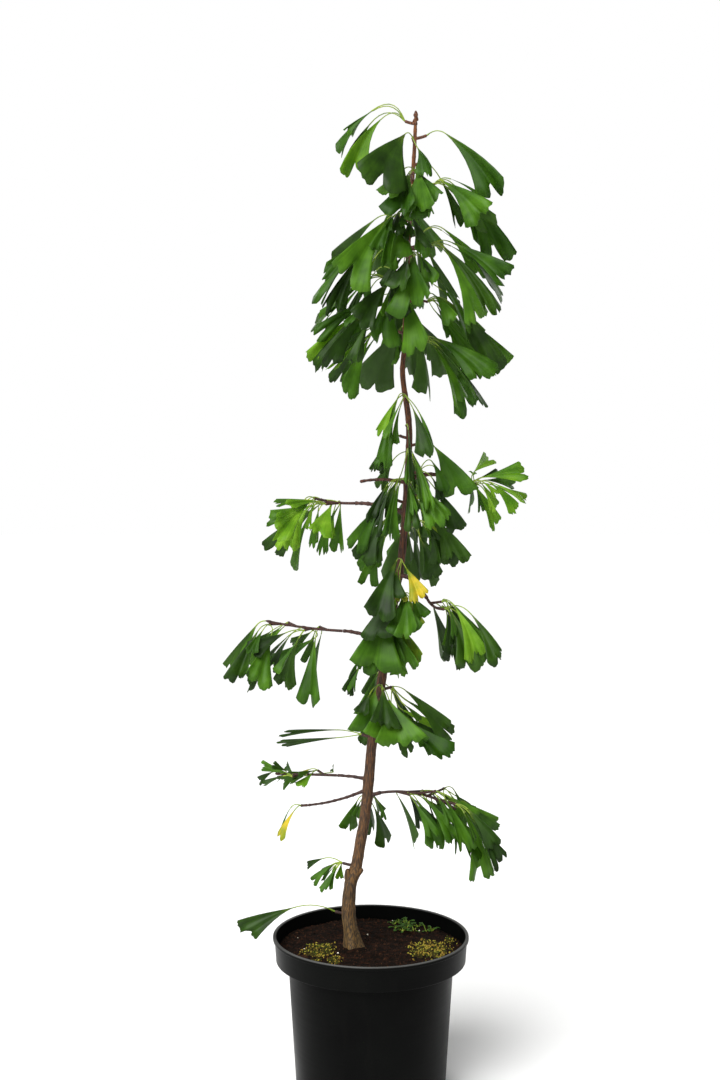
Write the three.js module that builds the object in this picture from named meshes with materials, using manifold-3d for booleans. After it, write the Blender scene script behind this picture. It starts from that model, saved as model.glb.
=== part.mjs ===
// A young ginkgo sapling in a nursery container, in millimetres with +Z up.
// The origin is the middle of the container's flat underside, and -Y is the plant's front.

import * as THREE from "three";
import Module from "manifold-3d";

const wasm = await Module();
wasm.setup();

// ---------------------------------------------------------------- driving sizes

const GAP = 0.35; // left between solids that touch on the real plant

const POT_HEIGHT = 225;
const POT_RIM_RADIUS = 141.5;
const POT_BAND_HEIGHT = 38;
const POT_BAND_FOOT_RADIUS = 137;
const POT_BODY_TOP_RADIUS = 119.5;
const POT_BASE_RADIUS = 108;
const POT_WALL = 2.2;
const POT_FLOOR = 3.5;
const POT_LIP_HEIGHT = 5;
const POT_LIP_DEPTH = 2.5;
const POT_FOOT_ROUND = 4;
const POT_SIDES = 32;

const COMPOST_DEPTH_BELOW_RIM = 16;
const COMPOST_TOP = POT_HEIGHT - COMPOST_DEPTH_BELOW_RIM;
const COMPOST_DIP = 4; // how much lower the compost lies along the wall
const COMPOST_FLAT_RADIUS = 112;

// The trunk from the compost to its tip: height above the compost, x, y, diameter.
const TRUNK_LINE = [
  [0, -24, -15, 30],
  [18, -27, -14, 23],
  [46, -32, -11, 20],
  [92, -29, -6, 18.5],
  [106, -24, -4, 20],
  [122, -20, -2, 16.5],
  [200, -7, 2, 15.5],
  [304, 3, 3, 14.5],
  [407, 19, 0, 13],
  [486, 31, -2, 12],
  [565, 44, -3, 11],
  [692, 53, 0, 9.5],
  [753, 54, 2, 9],
  [823, 45, 3, 7.5],
  [860, 47, 2, 7],
  [1026, 54, 0, 6],
  [1138, 61, -1, 5.5],
  [1186, 63, -1, 4.5],
];
const TRUNK_SIDES = 9;
const TRUNK_RING_STEP = 55;
const FLARE_HEIGHT = 30; // the root flare swells below this
const FLARE_SWELL = 0.16;
const FLARE_LOBES = 4;

// Limbs that leave the trunk. foot and climb are heights, reach is measured level from the trunk's
// middle, and arch lifts the limb's middle. Diameters are at the foot and at the tip.
const BOUGHS = [
  { name: "bough_left_upper", foot: 834, turn: 170, reach: 74, climb: 14, arch: 4, thick: 6.6, thin: 4.6 },
  { name: "bough_left_stub", foot: 877, turn: 186, reach: 68, climb: 2, arch: 4, thick: 5, thin: 3.4 },
  { name: "bough_right_upper", foot: 881, turn: 8, reach: 67, climb: 1, arch: 8, thick: 6.6, thin: 4.4 },
  { name: "bough_right_middle", foot: 745, turn: -30, reach: 46, climb: -32, arch: 9, thick: 6, thin: 4.2 },
  { name: "bough_left_middle", foot: 646, turn: 178, reach: 64, climb: 19, arch: 4, thick: 6, thin: 4.4 },
  { name: "bough_left_lower", foot: 450, turn: 176, reach: 46, climb: 5, arch: 1, thick: 5, thin: 3.6 },
  { name: "bough_left_low", foot: 436, turn: 190, reach: 88, climb: -20, arch: -4, thick: 4.4, thin: 3 },
  { name: "bough_right_lower", foot: 424, turn: -14, reach: 21, climb: 8, arch: 1, thick: 6, thin: 5 },
];
const BOUGH_SIDES = 6;
const BOUGH_RING_STEP = 16;

// The four sides of the crown, as turns about +Z in degrees, and the way their blades look.
const SIDES = {
  left: { turn: 180, face: 252 },
  right: { turn: 0, face: 288 },
  front: { turn: 270, face: 270 },
  back: { turn: 90, face: 90 },
};

// What a mass has unless its own row says otherwise. Angles are in degrees from level.
const USUAL = {
  near: 14, // the space starts this far out from the crown's middle line
  from: -45, // and lies between these turns from its side's own turn
  to: 45,
  stem: 9, // how far the stem runs out from the trunk, or its length past a bough's tip
  climb: 8, // how far it then climbs
  droop: 0, // how it ends past a bough's tip
  twigs: 0, // side twigs that branch from the stem
  twig: 18, // their length
  roots: 0.4, // leaves are rooted from this share of a twig's length on
  swing: 38, // leaves point up to this far to either hand
  petiole: 31,
  rise: 20, // how a petiole leaves the twig
  fall: -72, // how a blade ends
  sway: 14,
  trail: 1, // the first leaf's petiole is this many times longer
};

// Each mass of foliage: the heights between which it keeps, how far out it may reach, and the size
// of its leaves. Its stem starts at a height on the trunk, a little under its top where no foot is
// given, or at the tip of the bough that foot names.
const MASSES = [
  { name: "left_1", side: "left", foot: 1380, low: 1284, high: 1432, far: 150, stem: 12,
    leaves: 2, blade: 108, spread: 0.56, petiole: 72, swing: 14, rise: 62, fall: -80 },
  { name: "left_2", side: "left", foot: 1066, low: 986, high: 1282, far: 152, stem: 16, climb: 200,
    twigs: 4, twig: 20, roots: 0.2,
    leaves: 16, blade: 112, spread: 0.31, petiole: 36, fall: -66, sway: 20 },
  { name: "left_3", side: "left", low: 886, high: 960, far: 72, climb: 14,
    leaves: 3, blade: 64, spread: 0.35, petiole: 20, rise: 0, fall: -80 },
  { name: "left_4", side: "left", low: 712, high: 871, near: 20, far: 76, from: 2, climb: 56,
    leaves: 4, blade: 98, spread: 0.5, petiole: 20, swing: 18, fall: -82 },
  { name: "left_5", side: "left", low: 712, high: 826, far: 76, to: -2, climb: 16,
    leaves: 3, blade: 90, spread: 0.5, petiole: 24, swing: 18, fall: -78 },
  { name: "left_upper", side: "left", foot: "bough_left_upper", low: 708, high: 918, near: 77, far: 200,
    stem: 52, droop: 14, twigs: 4, twig: 28, roots: 0.1,
    leaves: 11, blade: 96, spread: 0.36, petiole: 30, swing: 80, rise: 20, fall: -60, sway: 56 },
  { name: "left_middle", side: "left", foot: "bough_left_middle", low: 545, high: 708, near: 60,
    far: 236, stem: 112, droop: 12, twigs: 4, twig: 22, roots: 0.1,
    leaves: 10, blade: 92, spread: 0.5, petiole: 30, swing: 80, rise: 0, fall: -64, sway: 32 },
  { name: "left_6", side: "left", low: 540, high: 640, far: 58, stem: 14, climb: 14,
    leaves: 3, blade: 62, spread: 0.6, petiole: 26, fall: -80 },
  { name: "left_7", side: "left", foot: 508, low: 484, high: 538, far: 160,
    leaves: 2, blade: 92, spread: 0.16, petiole: 44, swing: 14, rise: 8, fall: -14, sway: 8 },
  { name: "left_lower", side: "left", foot: "bough_left_lower", low: 426, high: 482, near: 47, far: 166,
    stem: 90, twigs: 2, twig: 16, roots: 0.05,
    leaves: 7, blade: 40, spread: 0.55, petiole: 14, swing: 75, rise: 20, fall: -8, sway: 45 },
  { name: "left_low", side: "left", foot: "bough_left_low", low: 348, high: 424, near: 88, far: 152,
    stem: 10,
    leaves: 2, blade: 46, spread: 0.32, petiole: 22, fall: -78 },
  { name: "left_kink", side: "left", foot: 326, low: 284, high: 362, near: 16, far: 84, stem: 12,
    climb: 4,
    leaves: 5, blade: 40, spread: 0.42, petiole: 17, trail: 2, swing: 70, rise: 14, fall: -64, sway: 34 },
  { name: "left_basal", side: "left", foot: 254, low: 229, high: 282, far: 172,
    leaves: 1, blade: 78, spread: 0.42, petiole: 58, swing: 8, rise: 16, fall: -40 },

  { name: "right_1", side: "right", foot: 1026, low: 960, high: 1436, far: 150, from: -66, stem: 14,
    climb: 366, twigs: 4, twig: 22, roots: 0.35,
    leaves: 22, blade: 124, spread: 0.4, petiole: 36, swing: 46, rise: 34, fall: -68, sway: 18 },
  { name: "right_2", side: "right", low: 736, high: 958, near: 16, far: 114, to: -10, stem: 12,
    climb: 140, twigs: 1, twig: 16, roots: 0,
    leaves: 8, blade: 100, spread: 0.6, petiole: 26, swing: 16, rise: 10, fall: -78 },
  { name: "right_3", side: "right", low: 748, high: 870, far: 70, from: -8, climb: 26,
    leaves: 4, blade: 76, spread: 0.45, petiole: 22 },
  { name: "right_upper", side: "right", foot: "bough_right_upper", low: 736, high: 932, near: 71,
    far: 188, from: -8, stem: 36, droop: 4, twigs: 2, twig: 22, roots: 0.2,
    leaves: 9, blade: 74, spread: 0.44, petiole: 30, swing: 75, rise: 25, fall: -30, sway: 55 },
  { name: "right_middle", side: "right", foot: "bough_right_middle", low: 604, high: 734, near: 44,
    far: 196, stem: 36, droop: 8, twigs: 2, twig: 26, roots: 0.1,
    leaves: 10, blade: 104, spread: 0.44, petiole: 28, swing: 80, fall: -76, trail: 2.2 },
  { name: "right_4", side: "right", low: 484, high: 602, far: 126, climb: 46, twigs: 1, roots: 0,
    leaves: 7, blade: 88, spread: 0.5, petiole: 24, rise: 5, fall: -62, sway: 22 },
  { name: "right_lower", side: "right", foot: "bough_right_lower", low: 292, high: 482, near: 18,
    far: 200, stem: 118, droop: -30, twigs: 6, twig: 32, roots: 0.05,
    leaves: 18, blade: 96, spread: 0.42, petiole: 27, swing: 62, rise: 6, fall: -62, sway: 30 },

  { name: "front_1", side: "front", foot: 1116, low: 1030, high: 1416, far: 132, to: 24, stem: 16,
    climb: 262, twigs: 4, twig: 18, roots: 0.3,
    leaves: 13, blade: 116, spread: 0.54, petiole: 30, rise: 26, fall: -68 },
  { name: "front_2", side: "front", low: 792, high: 1026, far: 96, climb: 148, twigs: 1, roots: 0.2,
    leaves: 8, blade: 116, spread: 0.3, petiole: 28, swing: 55, sway: 22 },
  { name: "front_3", side: "front", low: 606, high: 790, far: 104, climb: 110, twigs: 2, roots: 0.1,
    leaves: 9, blade: 102, spread: 0.7, petiole: 22 },
  { name: "front_4", side: "front", low: 480, high: 604, far: 112, stem: 14, climb: 16,
    leaves: 3, blade: 100, spread: 1, petiole: 36, swing: 24 },

  { name: "back_1", side: "back", foot: 1070, low: 990, high: 1400, far: 140, stem: 16, climb: 284,
    twigs: 4, twig: 20, roots: 0.2,
    leaves: 13, blade: 112, spread: 0.42, rise: 26, fall: -68, sway: 18 },
  { name: "back_2", side: "back", low: 684, high: 946, far: 124, climb: 140, twigs: 1,
    leaves: 10, blade: 88, spread: 0.48 },
  { name: "back_3", side: "back", low: 440, high: 682, far: 124, climb: 130, twigs: 1,
    leaves: 7, blade: 82, spread: 0.52 },
  { name: "back_4", side: "back", low: 310, high: 438, far: 112, climb: 20,
    leaves: 4, blade: 74, spread: 0.5 },
];

// The stem of a mass and the side twigs on it.
const HEADROOM = 14; // from a stem's tip up to the top of its mass, where the row gives no foot
const STEM_CLEAR = GAP + 0.4; // from the trunk, whose side leans past the stem's flat foot
const STEM_BEND = 0.3; // of its climb, where it turns upwards
const STEM_BULGE = 1.3; // how much further out that is than its tip
const STEM_FOOT_RADIUS = 2.3;
const STEM_TIP_RADIUS = 1.8;
const STEM_SIDES = 4;
const STEM_RINGS = 4;
const TWIGS_FROM = 0.2; // of the stem's length
const TWIG_FOOT_RADIUS = 1.8;
const TWIG_TIP_RADIUS = 1.5;
const TWIG_TURN = [35, 60]; // to either hand of its mass
const TWIG_RISE = [-10, 20];
const TWIG_LENGTH = [0.8, 1.2]; // of the twig length that a row gives

// How the leaves of a mass differ. Pairs are the least and the most.
const FIRST_SEED = 20;
const GOLDEN_SHARE = 0.618; // spreads leaves evenly to either hand, whatever their number
const FIRST_HAND = 0.3;
const ROOTS_TO = 0.95; // of a twig's length, the last place where a petiole is rooted
const TURN_SWAY = 14;
const RISE_SWAY = 7;
const RISE_BY_TURNS = 9; // every other petiole leaves its twig this much steeper, the rest flatter
const PETIOLE_LENGTH = [0.8, 1.2]; // of the length that a row gives
const BLADE_LENGTH = [0.78, 1.14];
const BLADE_WIDTH = [0.7, 1.22];
const STEEPEST_FALL = -88;
const FACE_SWAY = 58;
const FACE_RISE = 25; // how far the upper side of a blade looks up to the sky
const FOLD = [6, 30]; // how far either half of a blade is folded up
const NOTCH = [0.08, 0.34]; // depth of the cleft between its two lobes, of its length
const SHORT_LOBE = [0.86, 1]; // length of the shorter lobe, of the longer one
const TURN_OVER = 0.72; // how much of the way from rise to fall a petiole bends

const TRIES = 14; // a leaf is drawn again this often before it is skipped
const TRY_SHRINK = 0.95;
const SPACE_MARGIN = 2;
const PETIOLE_RADIUS = 0.95;
const PETIOLE_STEPS = 2;
const LEAF_THICKNESS = 0.0125; // of a blade's length

// Finishes.
const POT_PLASTIC = { color: 0x1b1c1e, roughness: 0.5, metalness: 0 };
const COMPOST = { color: 0x3a2218, roughness: 1, metalness: 0 };
const BARK = { color: 0x6b4a36, roughness: 0.85, metalness: 0 };
const LEAF = { color: 0x3f7a22, roughness: 0.6, metalness: 0 };

// ---------------------------------------------------------------- small mathematics

const radians = THREE.MathUtils.degToRad;

function towards(turn, climb) {
  const level = Math.cos(radians(climb));
  const [x, y] = [level * Math.cos(radians(turn)), level * Math.sin(radians(turn))];
  return new THREE.Vector3(x, y, Math.sin(radians(climb)));
}

function along(start, direction, distance) {
  return start.clone().addScaledVector(direction, distance);
}

function between(a, b, share) {
  return a + (b - a) * share;
}

// A point of the curve that leaves a towards b and comes from b into c.
function bentPoint(a, b, c, t) {
  return a
    .clone()
    .multiplyScalar((1 - t) ** 2)
    .addScaledVector(b, 2 * t * (1 - t))
    .addScaledVector(c, t * t);
}

function bentDirection(a, b, c, t) {
  const start = b.clone().sub(a).multiplyScalar(1 - t);
  return start.addScaledVector(c.clone().sub(b), t).normalize();
}

// Numbers between two limits, the same on every run and simple enough to repeat in any language.
function seededRandom(seed) {
  let state = Math.imul(seed, 48271) >>> 0;
  return function (low, high) {
    state = (Math.imul(state, 1664525) + 1013904223) >>> 0;
    return between(low, high, state / 4294967296);
  };
}

// ---------------------------------------------------------------- solids

function toSolid(points, faces) {
  const vertProperties = new Float32Array(points.flatMap((p) => [p.x, p.y, p.z]));
  const triVerts = new Uint32Array(faces.flat());
  return new wasm.Manifold(new wasm.Mesh({ numProp: 3, vertProperties, triVerts }));
}

// Fusing can leave a loose scrap or seal a hollow, each with a skin of its own. Only the faces of
// the skin that encloses most are kept, which drops the one and fills the other.
function mainSkin(mesh) {
  const owner = Array.from({ length: mesh.numVert }, (_, index) => index);
  const ownerOf = (index) => {
    let found = index;
    while (owner[found] !== found) {
      owner[found] = owner[owner[found]];
      found = owner[found];
    }
    return found;
  };
  for (let corner = 0; corner < mesh.triVerts.length; corner += 3) {
    const first = ownerOf(mesh.triVerts[corner]);
    owner[ownerOf(mesh.triVerts[corner + 1])] = first;
    owner[ownerOf(mesh.triVerts[corner + 2])] = first;
  }
  const enclosed = new Map();
  const cornersOf = new Map();
  for (let corner = 0; corner < mesh.triVerts.length; corner += 3) {
    const face = Array.from(mesh.triVerts.slice(corner, corner + 3));
    const [a, b, c] = face.map((index) => new THREE.Vector3().fromArray(mesh.vertProperties, index * 3));
    const skin = ownerOf(face[0]);
    enclosed.set(skin, (enclosed.get(skin) ?? 0) + a.dot(b.cross(c)));
    cornersOf.set(skin, [...(cornersOf.get(skin) ?? []), ...face]);
  }
  const [main] = [...enclosed.keys()].sort((one, other) => enclosed.get(other) - enclosed.get(one));
  return cornersOf.get(main);
}

function toNode(name, solid, finish) {
  const mesh = solid.getMesh();
  const geometry = new THREE.BufferGeometry();
  geometry.setAttribute("position", new THREE.BufferAttribute(mesh.vertProperties, mesh.numProp));
  geometry.setIndex(mainSkin(mesh));
  geometry.computeVertexNormals();
  const node = new THREE.Mesh(geometry, new THREE.MeshStandardMaterial(finish));
  node.name = name;
  return node;
}

// The faces of a closed skin over rings of points that all have the same number of sides.
function ringFaces(rings, sides) {
  const faces = [];
  for (let ring = 0; ring + 1 < rings; ring += 1) {
    for (let side = 0; side < sides; side += 1) {
      const next = (side + 1) % sides;
      const here = ring * sides;
      const above = here + sides;
      faces.push([here + side, here + next, above + next]);
      faces.push([here + side, above + next, above + side]);
    }
  }
  return faces;
}

function capFaces(rings, sides) {
  const faces = [];
  const last = (rings - 1) * sides;
  for (let side = 1; side + 1 < sides; side += 1) {
    faces.push([0, side + 1, side]);
    faces.push([last, last + side, last + side + 1]);
  }
  return faces;
}

// One ring of points round a centre, square to a direction. side is level, across the whole limb.
function ringPoints(centre, direction, side, radius, sides) {
  const across = side.clone().addScaledVector(direction, -side.dot(direction)).normalize();
  const other = new THREE.Vector3().crossVectors(direction, across);
  const points = [];
  for (let corner = 0; corner < sides; corner += 1) {
    const angle = (2 * Math.PI * corner) / sides;
    const point = along(centre, across, radius * Math.cos(angle));
    points.push(point.addScaledVector(other, radius * Math.sin(angle)));
  }
  return points;
}

// A limb along a bent line, thinning evenly from its foot to its tip.
function limbSolid(line, footRadius, tipRadius, sides, rings) {
  const heading = line.bend.clone().sub(line.start);
  const side = new THREE.Vector3(-heading.y, heading.x, 0).normalize();
  const points = [];
  for (let ring = 0; ring < rings; ring += 1) {
    const t = ring / (rings - 1);
    const centre = bentPoint(line.start, line.bend, line.end, t);
    const direction = bentDirection(line.start, line.bend, line.end, t);
    points.push(...ringPoints(centre, direction, side, between(footRadius, tipRadius, t), sides));
  }
  return toSolid(points, [...ringFaces(rings, sides), ...capFaces(rings, sides)]);
}

// A closed round body from its outline, given as radius and height from the axis back to the axis.
function turnedSolid(outline, sides) {
  const rings = outline.slice(1, -1);
  const points = rings.flatMap(([radius, height]) => {
    const ring = [];
    for (let side = 0; side < sides; side += 1) {
      const angle = (2 * Math.PI * side) / sides;
      ring.push(new THREE.Vector3(radius * Math.cos(angle), radius * Math.sin(angle), height));
    }
    return ring;
  });
  const faces = ringFaces(rings.length, sides);
  const lowest = points.push(new THREE.Vector3(0, 0, outline[0][1])) - 1;
  const highest = points.push(new THREE.Vector3(0, 0, outline[outline.length - 1][1])) - 1;
  const last = (rings.length - 1) * sides;
  for (let side = 0; side < sides; side += 1) {
    const next = (side + 1) % sides;
    faces.push([lowest, next, side]);
    faces.push([highest, last + side, last + next]);
  }
  return toSolid(points, faces);
}

// ---------------------------------------------------------------- pot and compost

function potNode() {
  const bandFoot = POT_HEIGHT - POT_BAND_HEIGHT;
  const outline = [
    [0, 0],
    [POT_BASE_RADIUS - POT_FOOT_ROUND, 0],
    [POT_BASE_RADIUS, POT_FOOT_ROUND],
    [POT_BODY_TOP_RADIUS, bandFoot],
    [POT_BAND_FOOT_RADIUS, bandFoot + POT_WALL],
    [POT_RIM_RADIUS - POT_LIP_DEPTH, POT_HEIGHT - POT_LIP_HEIGHT],
    [POT_RIM_RADIUS, POT_HEIGHT - POT_LIP_HEIGHT],
    [POT_RIM_RADIUS, POT_HEIGHT],
    [POT_RIM_RADIUS - POT_WALL - POT_LIP_DEPTH, POT_HEIGHT],
    [POT_BAND_FOOT_RADIUS - POT_WALL, bandFoot + 2 * POT_WALL],
    [POT_BODY_TOP_RADIUS - POT_WALL, bandFoot + POT_WALL],
    [POT_BASE_RADIUS - POT_WALL, POT_FLOOR],
    [0, POT_FLOOR],
  ];
  return toNode("pot", turnedSolid(outline, POT_SIDES), POT_PLASTIC);
}

function compostNode() {
  const bandFoot = POT_HEIGHT - POT_BAND_HEIGHT;
  const rimInside = POT_RIM_RADIUS - POT_WALL - POT_LIP_DEPTH;
  const bandInside = POT_BAND_FOOT_RADIUS - POT_WALL;
  const edgeHeight = COMPOST_TOP - COMPOST_DIP;
  const upBand = (edgeHeight - bandFoot - 2 * POT_WALL) / (POT_BAND_HEIGHT - 2 * POT_WALL);
  const slack = 2 * GAP; // a round pot's inner wall is a polygon, which comes in between its corners
  const outline = [
    [0, POT_FLOOR + GAP],
    [POT_BASE_RADIUS - POT_WALL - slack, POT_FLOOR + GAP],
    [POT_BODY_TOP_RADIUS - POT_WALL - slack, bandFoot + POT_WALL + GAP],
    [bandInside - slack, bandFoot + 2 * POT_WALL + GAP],
    [between(bandInside, rimInside, upBand) - slack, edgeHeight],
    [COMPOST_FLAT_RADIUS, COMPOST_TOP],
    [0, COMPOST_TOP],
  ];
  return toNode("compost", turnedSolid(outline, POT_SIDES), COMPOST);
}

// ---------------------------------------------------------------- trunk and boughs

const trunkCurve = new THREE.CatmullRomCurve3(
  TRUNK_LINE.map(([height, x, y]) => new THREE.Vector3(x, y, COMPOST_TOP + height)),
  false,
  "centripetal",
);

function trunkDiameter(above) {
  const next = TRUNK_LINE.findIndex((row) => row[0] >= above);
  if (next < 1) {
    return TRUNK_LINE[next === 0 ? 0 : TRUNK_LINE.length - 1][3];
  }
  const [lowHeight, , , lowDiameter] = TRUNK_LINE[next - 1];
  const [highHeight, , , highDiameter] = TRUNK_LINE[next];
  return between(lowDiameter, highDiameter, (above - lowHeight) / (highHeight - lowHeight));
}

// The trunk's middle at a height over the ground.
function trunkMiddle(height) {
  let low = 0;
  let high = 1;
  for (let halving = 0; halving < 40; halving += 1) {
    const half = (low + high) / 2;
    if (trunkCurve.getPoint(half).z < height) {
      low = half;
    } else {
      high = half;
    }
  }
  return trunkCurve.getPoint(low);
}

// Level rings of the trunk, thicker by the given amount, which keeps its foot a flat cut.
function trunkSolid(thicker) {
  const top = TRUNK_LINE[TRUNK_LINE.length - 1][0];
  const heights = TRUNK_LINE.map((row) => row[0]);
  for (let gap = 1; gap < TRUNK_LINE.length; gap += 1) {
    const step = TRUNK_LINE[gap][0] - TRUNK_LINE[gap - 1][0];
    const extra = Math.floor(step / TRUNK_RING_STEP);
    for (let part = 1; part <= extra; part += 1) {
      heights.push(TRUNK_LINE[gap - 1][0] + (step * part) / (extra + 1));
    }
  }
  heights.sort((a, b) => a - b);
  const points = [];
  for (const above of heights) {
    const middle = trunkMiddle(COMPOST_TOP + above);
    const swell = FLARE_SWELL * Math.max(0, 1 - above / FLARE_HEIGHT);
    for (let side = 0; side < TRUNK_SIDES; side += 1) {
      const angle = (2 * Math.PI * side) / TRUNK_SIDES;
      const lobe = 1 + swell * Math.cos(FLARE_LOBES * angle + 1);
      const radius = (trunkDiameter(above) / 2) * lobe + thicker;
      const point = new THREE.Vector3(radius * Math.cos(angle), radius * Math.sin(angle), 0).add(middle);
      point.z = COMPOST_TOP + GAP + (above * (top - GAP)) / top;
      points.push(point);
    }
  }
  const rings = heights.length;
  return toSolid(points, [...ringFaces(rings, TRUNK_SIDES), ...capFaces(rings, TRUNK_SIDES)]);
}

const trunkWithGap = trunkSolid(GAP + 0.1);

function boughLine(bough) {
  const middle = trunkMiddle(bough.foot);
  const end = along(middle, towards(bough.turn, 0), bough.reach);
  end.z += bough.climb;
  const bend = middle.clone().add(end).multiplyScalar(0.5);
  bend.z += 2 * bough.arch;
  return { start: middle, bend, end };
}

function boughNode(bough) {
  const rings = Math.round(bough.reach / BOUGH_RING_STEP) + 2;
  const limb = limbSolid(boughLine(bough), bough.thick / 2, bough.thin / 2, BOUGH_SIDES, rings);
  return toNode(bough.name, limb.subtract(trunkWithGap), BARK);
}

// ---------------------------------------------------------------- foliage rule

// The crown's middle line follows the trunk's lean with one soft bend, and the spaces of the masses
// are measured from it, so that they never meet.
function crownMiddle(height) {
  const above = height - COMPOST_TOP;
  const straight = -30 + 0.125 * above;
  return straight - 6.3 * Math.log(1 + Math.exp((above - 640) / 60));
}

function insideSpace(mass, point) {
  const turn = radians(SIDES[mass.side].turn);
  const x = point.x - crownMiddle(point.z);
  const out = x * Math.cos(turn) + point.y * Math.sin(turn);
  const across = point.y * Math.cos(turn) - x * Math.sin(turn);
  return (
    point.z > mass.low + SPACE_MARGIN &&
    point.z < mass.high - SPACE_MARGIN &&
    out > mass.near &&
    out < mass.far &&
    across > out * Math.tan(radians(mass.from)) + SPACE_MARGIN &&
    across < out * Math.tan(radians(mass.to)) - SPACE_MARGIN
  );
}

// The stem of a mass starts just clear of the trunk, runs out and climbs beside it, or it goes on
// from a bough's tip.
function stemLine(mass) {
  if (typeof mass.foot === "string") {
    const bough = BOUGHS.find((row) => row.name === mass.foot);
    const line = boughLine(bough);
    const direction = bentDirection(line.start, line.bend, line.end, 1);
    const start = along(line.end, direction, GAP);
    const bend = along(start, direction, mass.stem / 2);
    return { start, bend, end: along(bend, towards(bough.turn, mass.droop), mass.stem / 2) };
  }
  const out = towards(SIDES[mass.side].turn + (mass.from + mass.to) / 2, 0);
  const foot = mass.foot ?? mass.high - HEADROOM - mass.climb;
  const beside = (height) => trunkDiameter(height - COMPOST_TOP) / 2 + STEM_CLEAR;
  const top = foot + mass.climb;
  const end = along(trunkMiddle(top), out, beside(top) + mass.stem);
  const bendAt = foot + STEM_BEND * mass.climb;
  const bulge = STEM_BULGE * mass.stem;
  const bend = along(trunkMiddle(bendAt), out, beside(bendAt) + bulge);
  // A foot that leans upwards needs room for its own radius beside the trunk.
  const lean = (bendAt - foot) / Math.hypot(bendAt - foot, bulge);
  return { start: along(trunkMiddle(foot), out, beside(foot) + STEM_FOOT_RADIUS * lean), bend, end };
}

// The stem and the side twigs that branch from it to either hand carry the leaves by turns.
function twigLines(mass, stem, random) {
  const turn = SIDES[mass.side].turn + (mass.from + mass.to) / 2;
  const twigs = [stem];
  for (let index = 0; index < mass.twigs; index += 1) {
    const start = bentPoint(stem.start, stem.bend, stem.end, between(TWIGS_FROM, 1, index / mass.twigs));
    const hand = (index % 2) * 2 - 1;
    const direction = towards(turn + hand * random(...TWIG_TURN), random(...TWIG_RISE));
    const length = mass.twig * random(...TWIG_LENGTH);
    twigs.push({ start, bend: along(start, direction, length / 2), end: along(start, direction, length) });
  }
  return twigs;
}

// One leaf: its petiole bends from its twig over to the blade, which bends on down.
function drawLeaf(mass, index, twig, rootShare, shrink, random) {
  const side = SIDES[mass.side];
  const hand = 2 * ((index * GOLDEN_SHARE + FIRST_HAND) % 1) - 1;
  const middle = side.turn + (mass.from + mass.to) / 2;
  const turn = middle + mass.swing * hand + random(-TURN_SWAY, TURN_SWAY);
  const lift = index % 2 === 0 ? RISE_BY_TURNS : -RISE_BY_TURNS;
  const rise = mass.rise + lift + random(-RISE_SWAY, RISE_SWAY);
  const trail = index === 0 ? mass.trail : 1;
  const petiole = mass.petiole * trail * random(...PETIOLE_LENGTH);
  const length = mass.blade * shrink * random(...BLADE_LENGTH);
  const width = length * mass.spread * random(...BLADE_WIDTH);
  const fall = Math.max(STEEPEST_FALL, mass.fall + random(-mass.sway, mass.sway));
  const face = side.face + random(-FACE_SWAY, FACE_SWAY);
  const fold = random(...FOLD);
  const notch = random(...NOTCH);
  const shortLobe = random(...SHORT_LOBE);
  const leftLonger = random(0, 1) > 0.5;
  const turnOver = between(rise, fall, TURN_OVER);
  const root = bentPoint(twig.start, twig.bend, twig.end, rootShare);
  const knee = along(root, towards(turn, rise), petiole / 2);
  const base = along(knee, towards(turn, turnOver), petiole / 2);
  const belly = along(base, towards(turn, turnOver), length / 2);
  const tip = along(belly, towards(turn, fall), length / 2);
  const level = towards(turn + 90, 0);
  const roll = rollTo(level, towards(turn, fall), towards(face, FACE_RISE));
  return { root, knee, base, belly, tip, length, width, level, roll, fold, notch, shortLobe, leftLonger };
}

// A leaf bends in one upright plane that level is square to. It is rolled about its own line, by the
// same angle all along, so that the upper side of its tip looks the given way.
function rollTo(level, direction, looks) {
  const sideways = new THREE.Vector3().crossVectors(direction, looks);
  const square = new THREE.Vector3().crossVectors(level, direction);
  return Math.atan2(sideways.dot(square), sideways.dot(level));
}

// The sideways and the upward direction across a leaf where it runs in the given direction.
function acrossLeaf(leaf, direction) {
  const square = new THREE.Vector3().crossVectors(leaf.level, direction);
  const sideways = square.multiplyScalar(Math.sin(leaf.roll)).addScaledVector(leaf.level, Math.cos(leaf.roll));
  return [sideways, new THREE.Vector3().crossVectors(sideways, direction)];
}

// A point of the blade: t along its midrib from 0 to 1, and across in half widths from -1 to 1.
function bladePoint(leaf, t, across, lift) {
  const centre = bentPoint(leaf.base, leaf.belly, leaf.tip, t);
  const direction = bentDirection(leaf.base, leaf.belly, leaf.tip, t);
  const [sideways, upwards] = acrossLeaf(leaf, direction);
  const distance = (across * leaf.width) / 2;
  centre.addScaledVector(sideways, distance * Math.cos(radians(leaf.fold)));
  return centre.addScaledVector(upwards, Math.abs(distance) * Math.sin(radians(leaf.fold)) + lift);
}

// The margin of a blade from its right shoulder round to its left one, as t and half widths across.
function bladeMargin(leaf) {
  const right = leaf.leftLonger ? leaf.shortLobe : 1;
  const left = leaf.leftLonger ? 1 : leaf.shortLobe;
  const notch = 1 - leaf.notch;
  return [
    [0.8 * right, 1],
    [right, 0.55],
    [notch, 0.04],
    [left, -0.55],
    [0.8 * left, -1],
  ];
}

function leafFits(mass, leaf) {
  const points = bladeMargin(leaf).map(([t, across]) => bladePoint(leaf, t, across, 0));
  points.push(leaf.base, leaf.tip);
  const top = bentPoint(leaf.root, leaf.knee, leaf.base, 0.5);
  return points.every((point) => insideSpace(mass, point)) && top.z < mass.high && top.z > mass.low;
}

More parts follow.
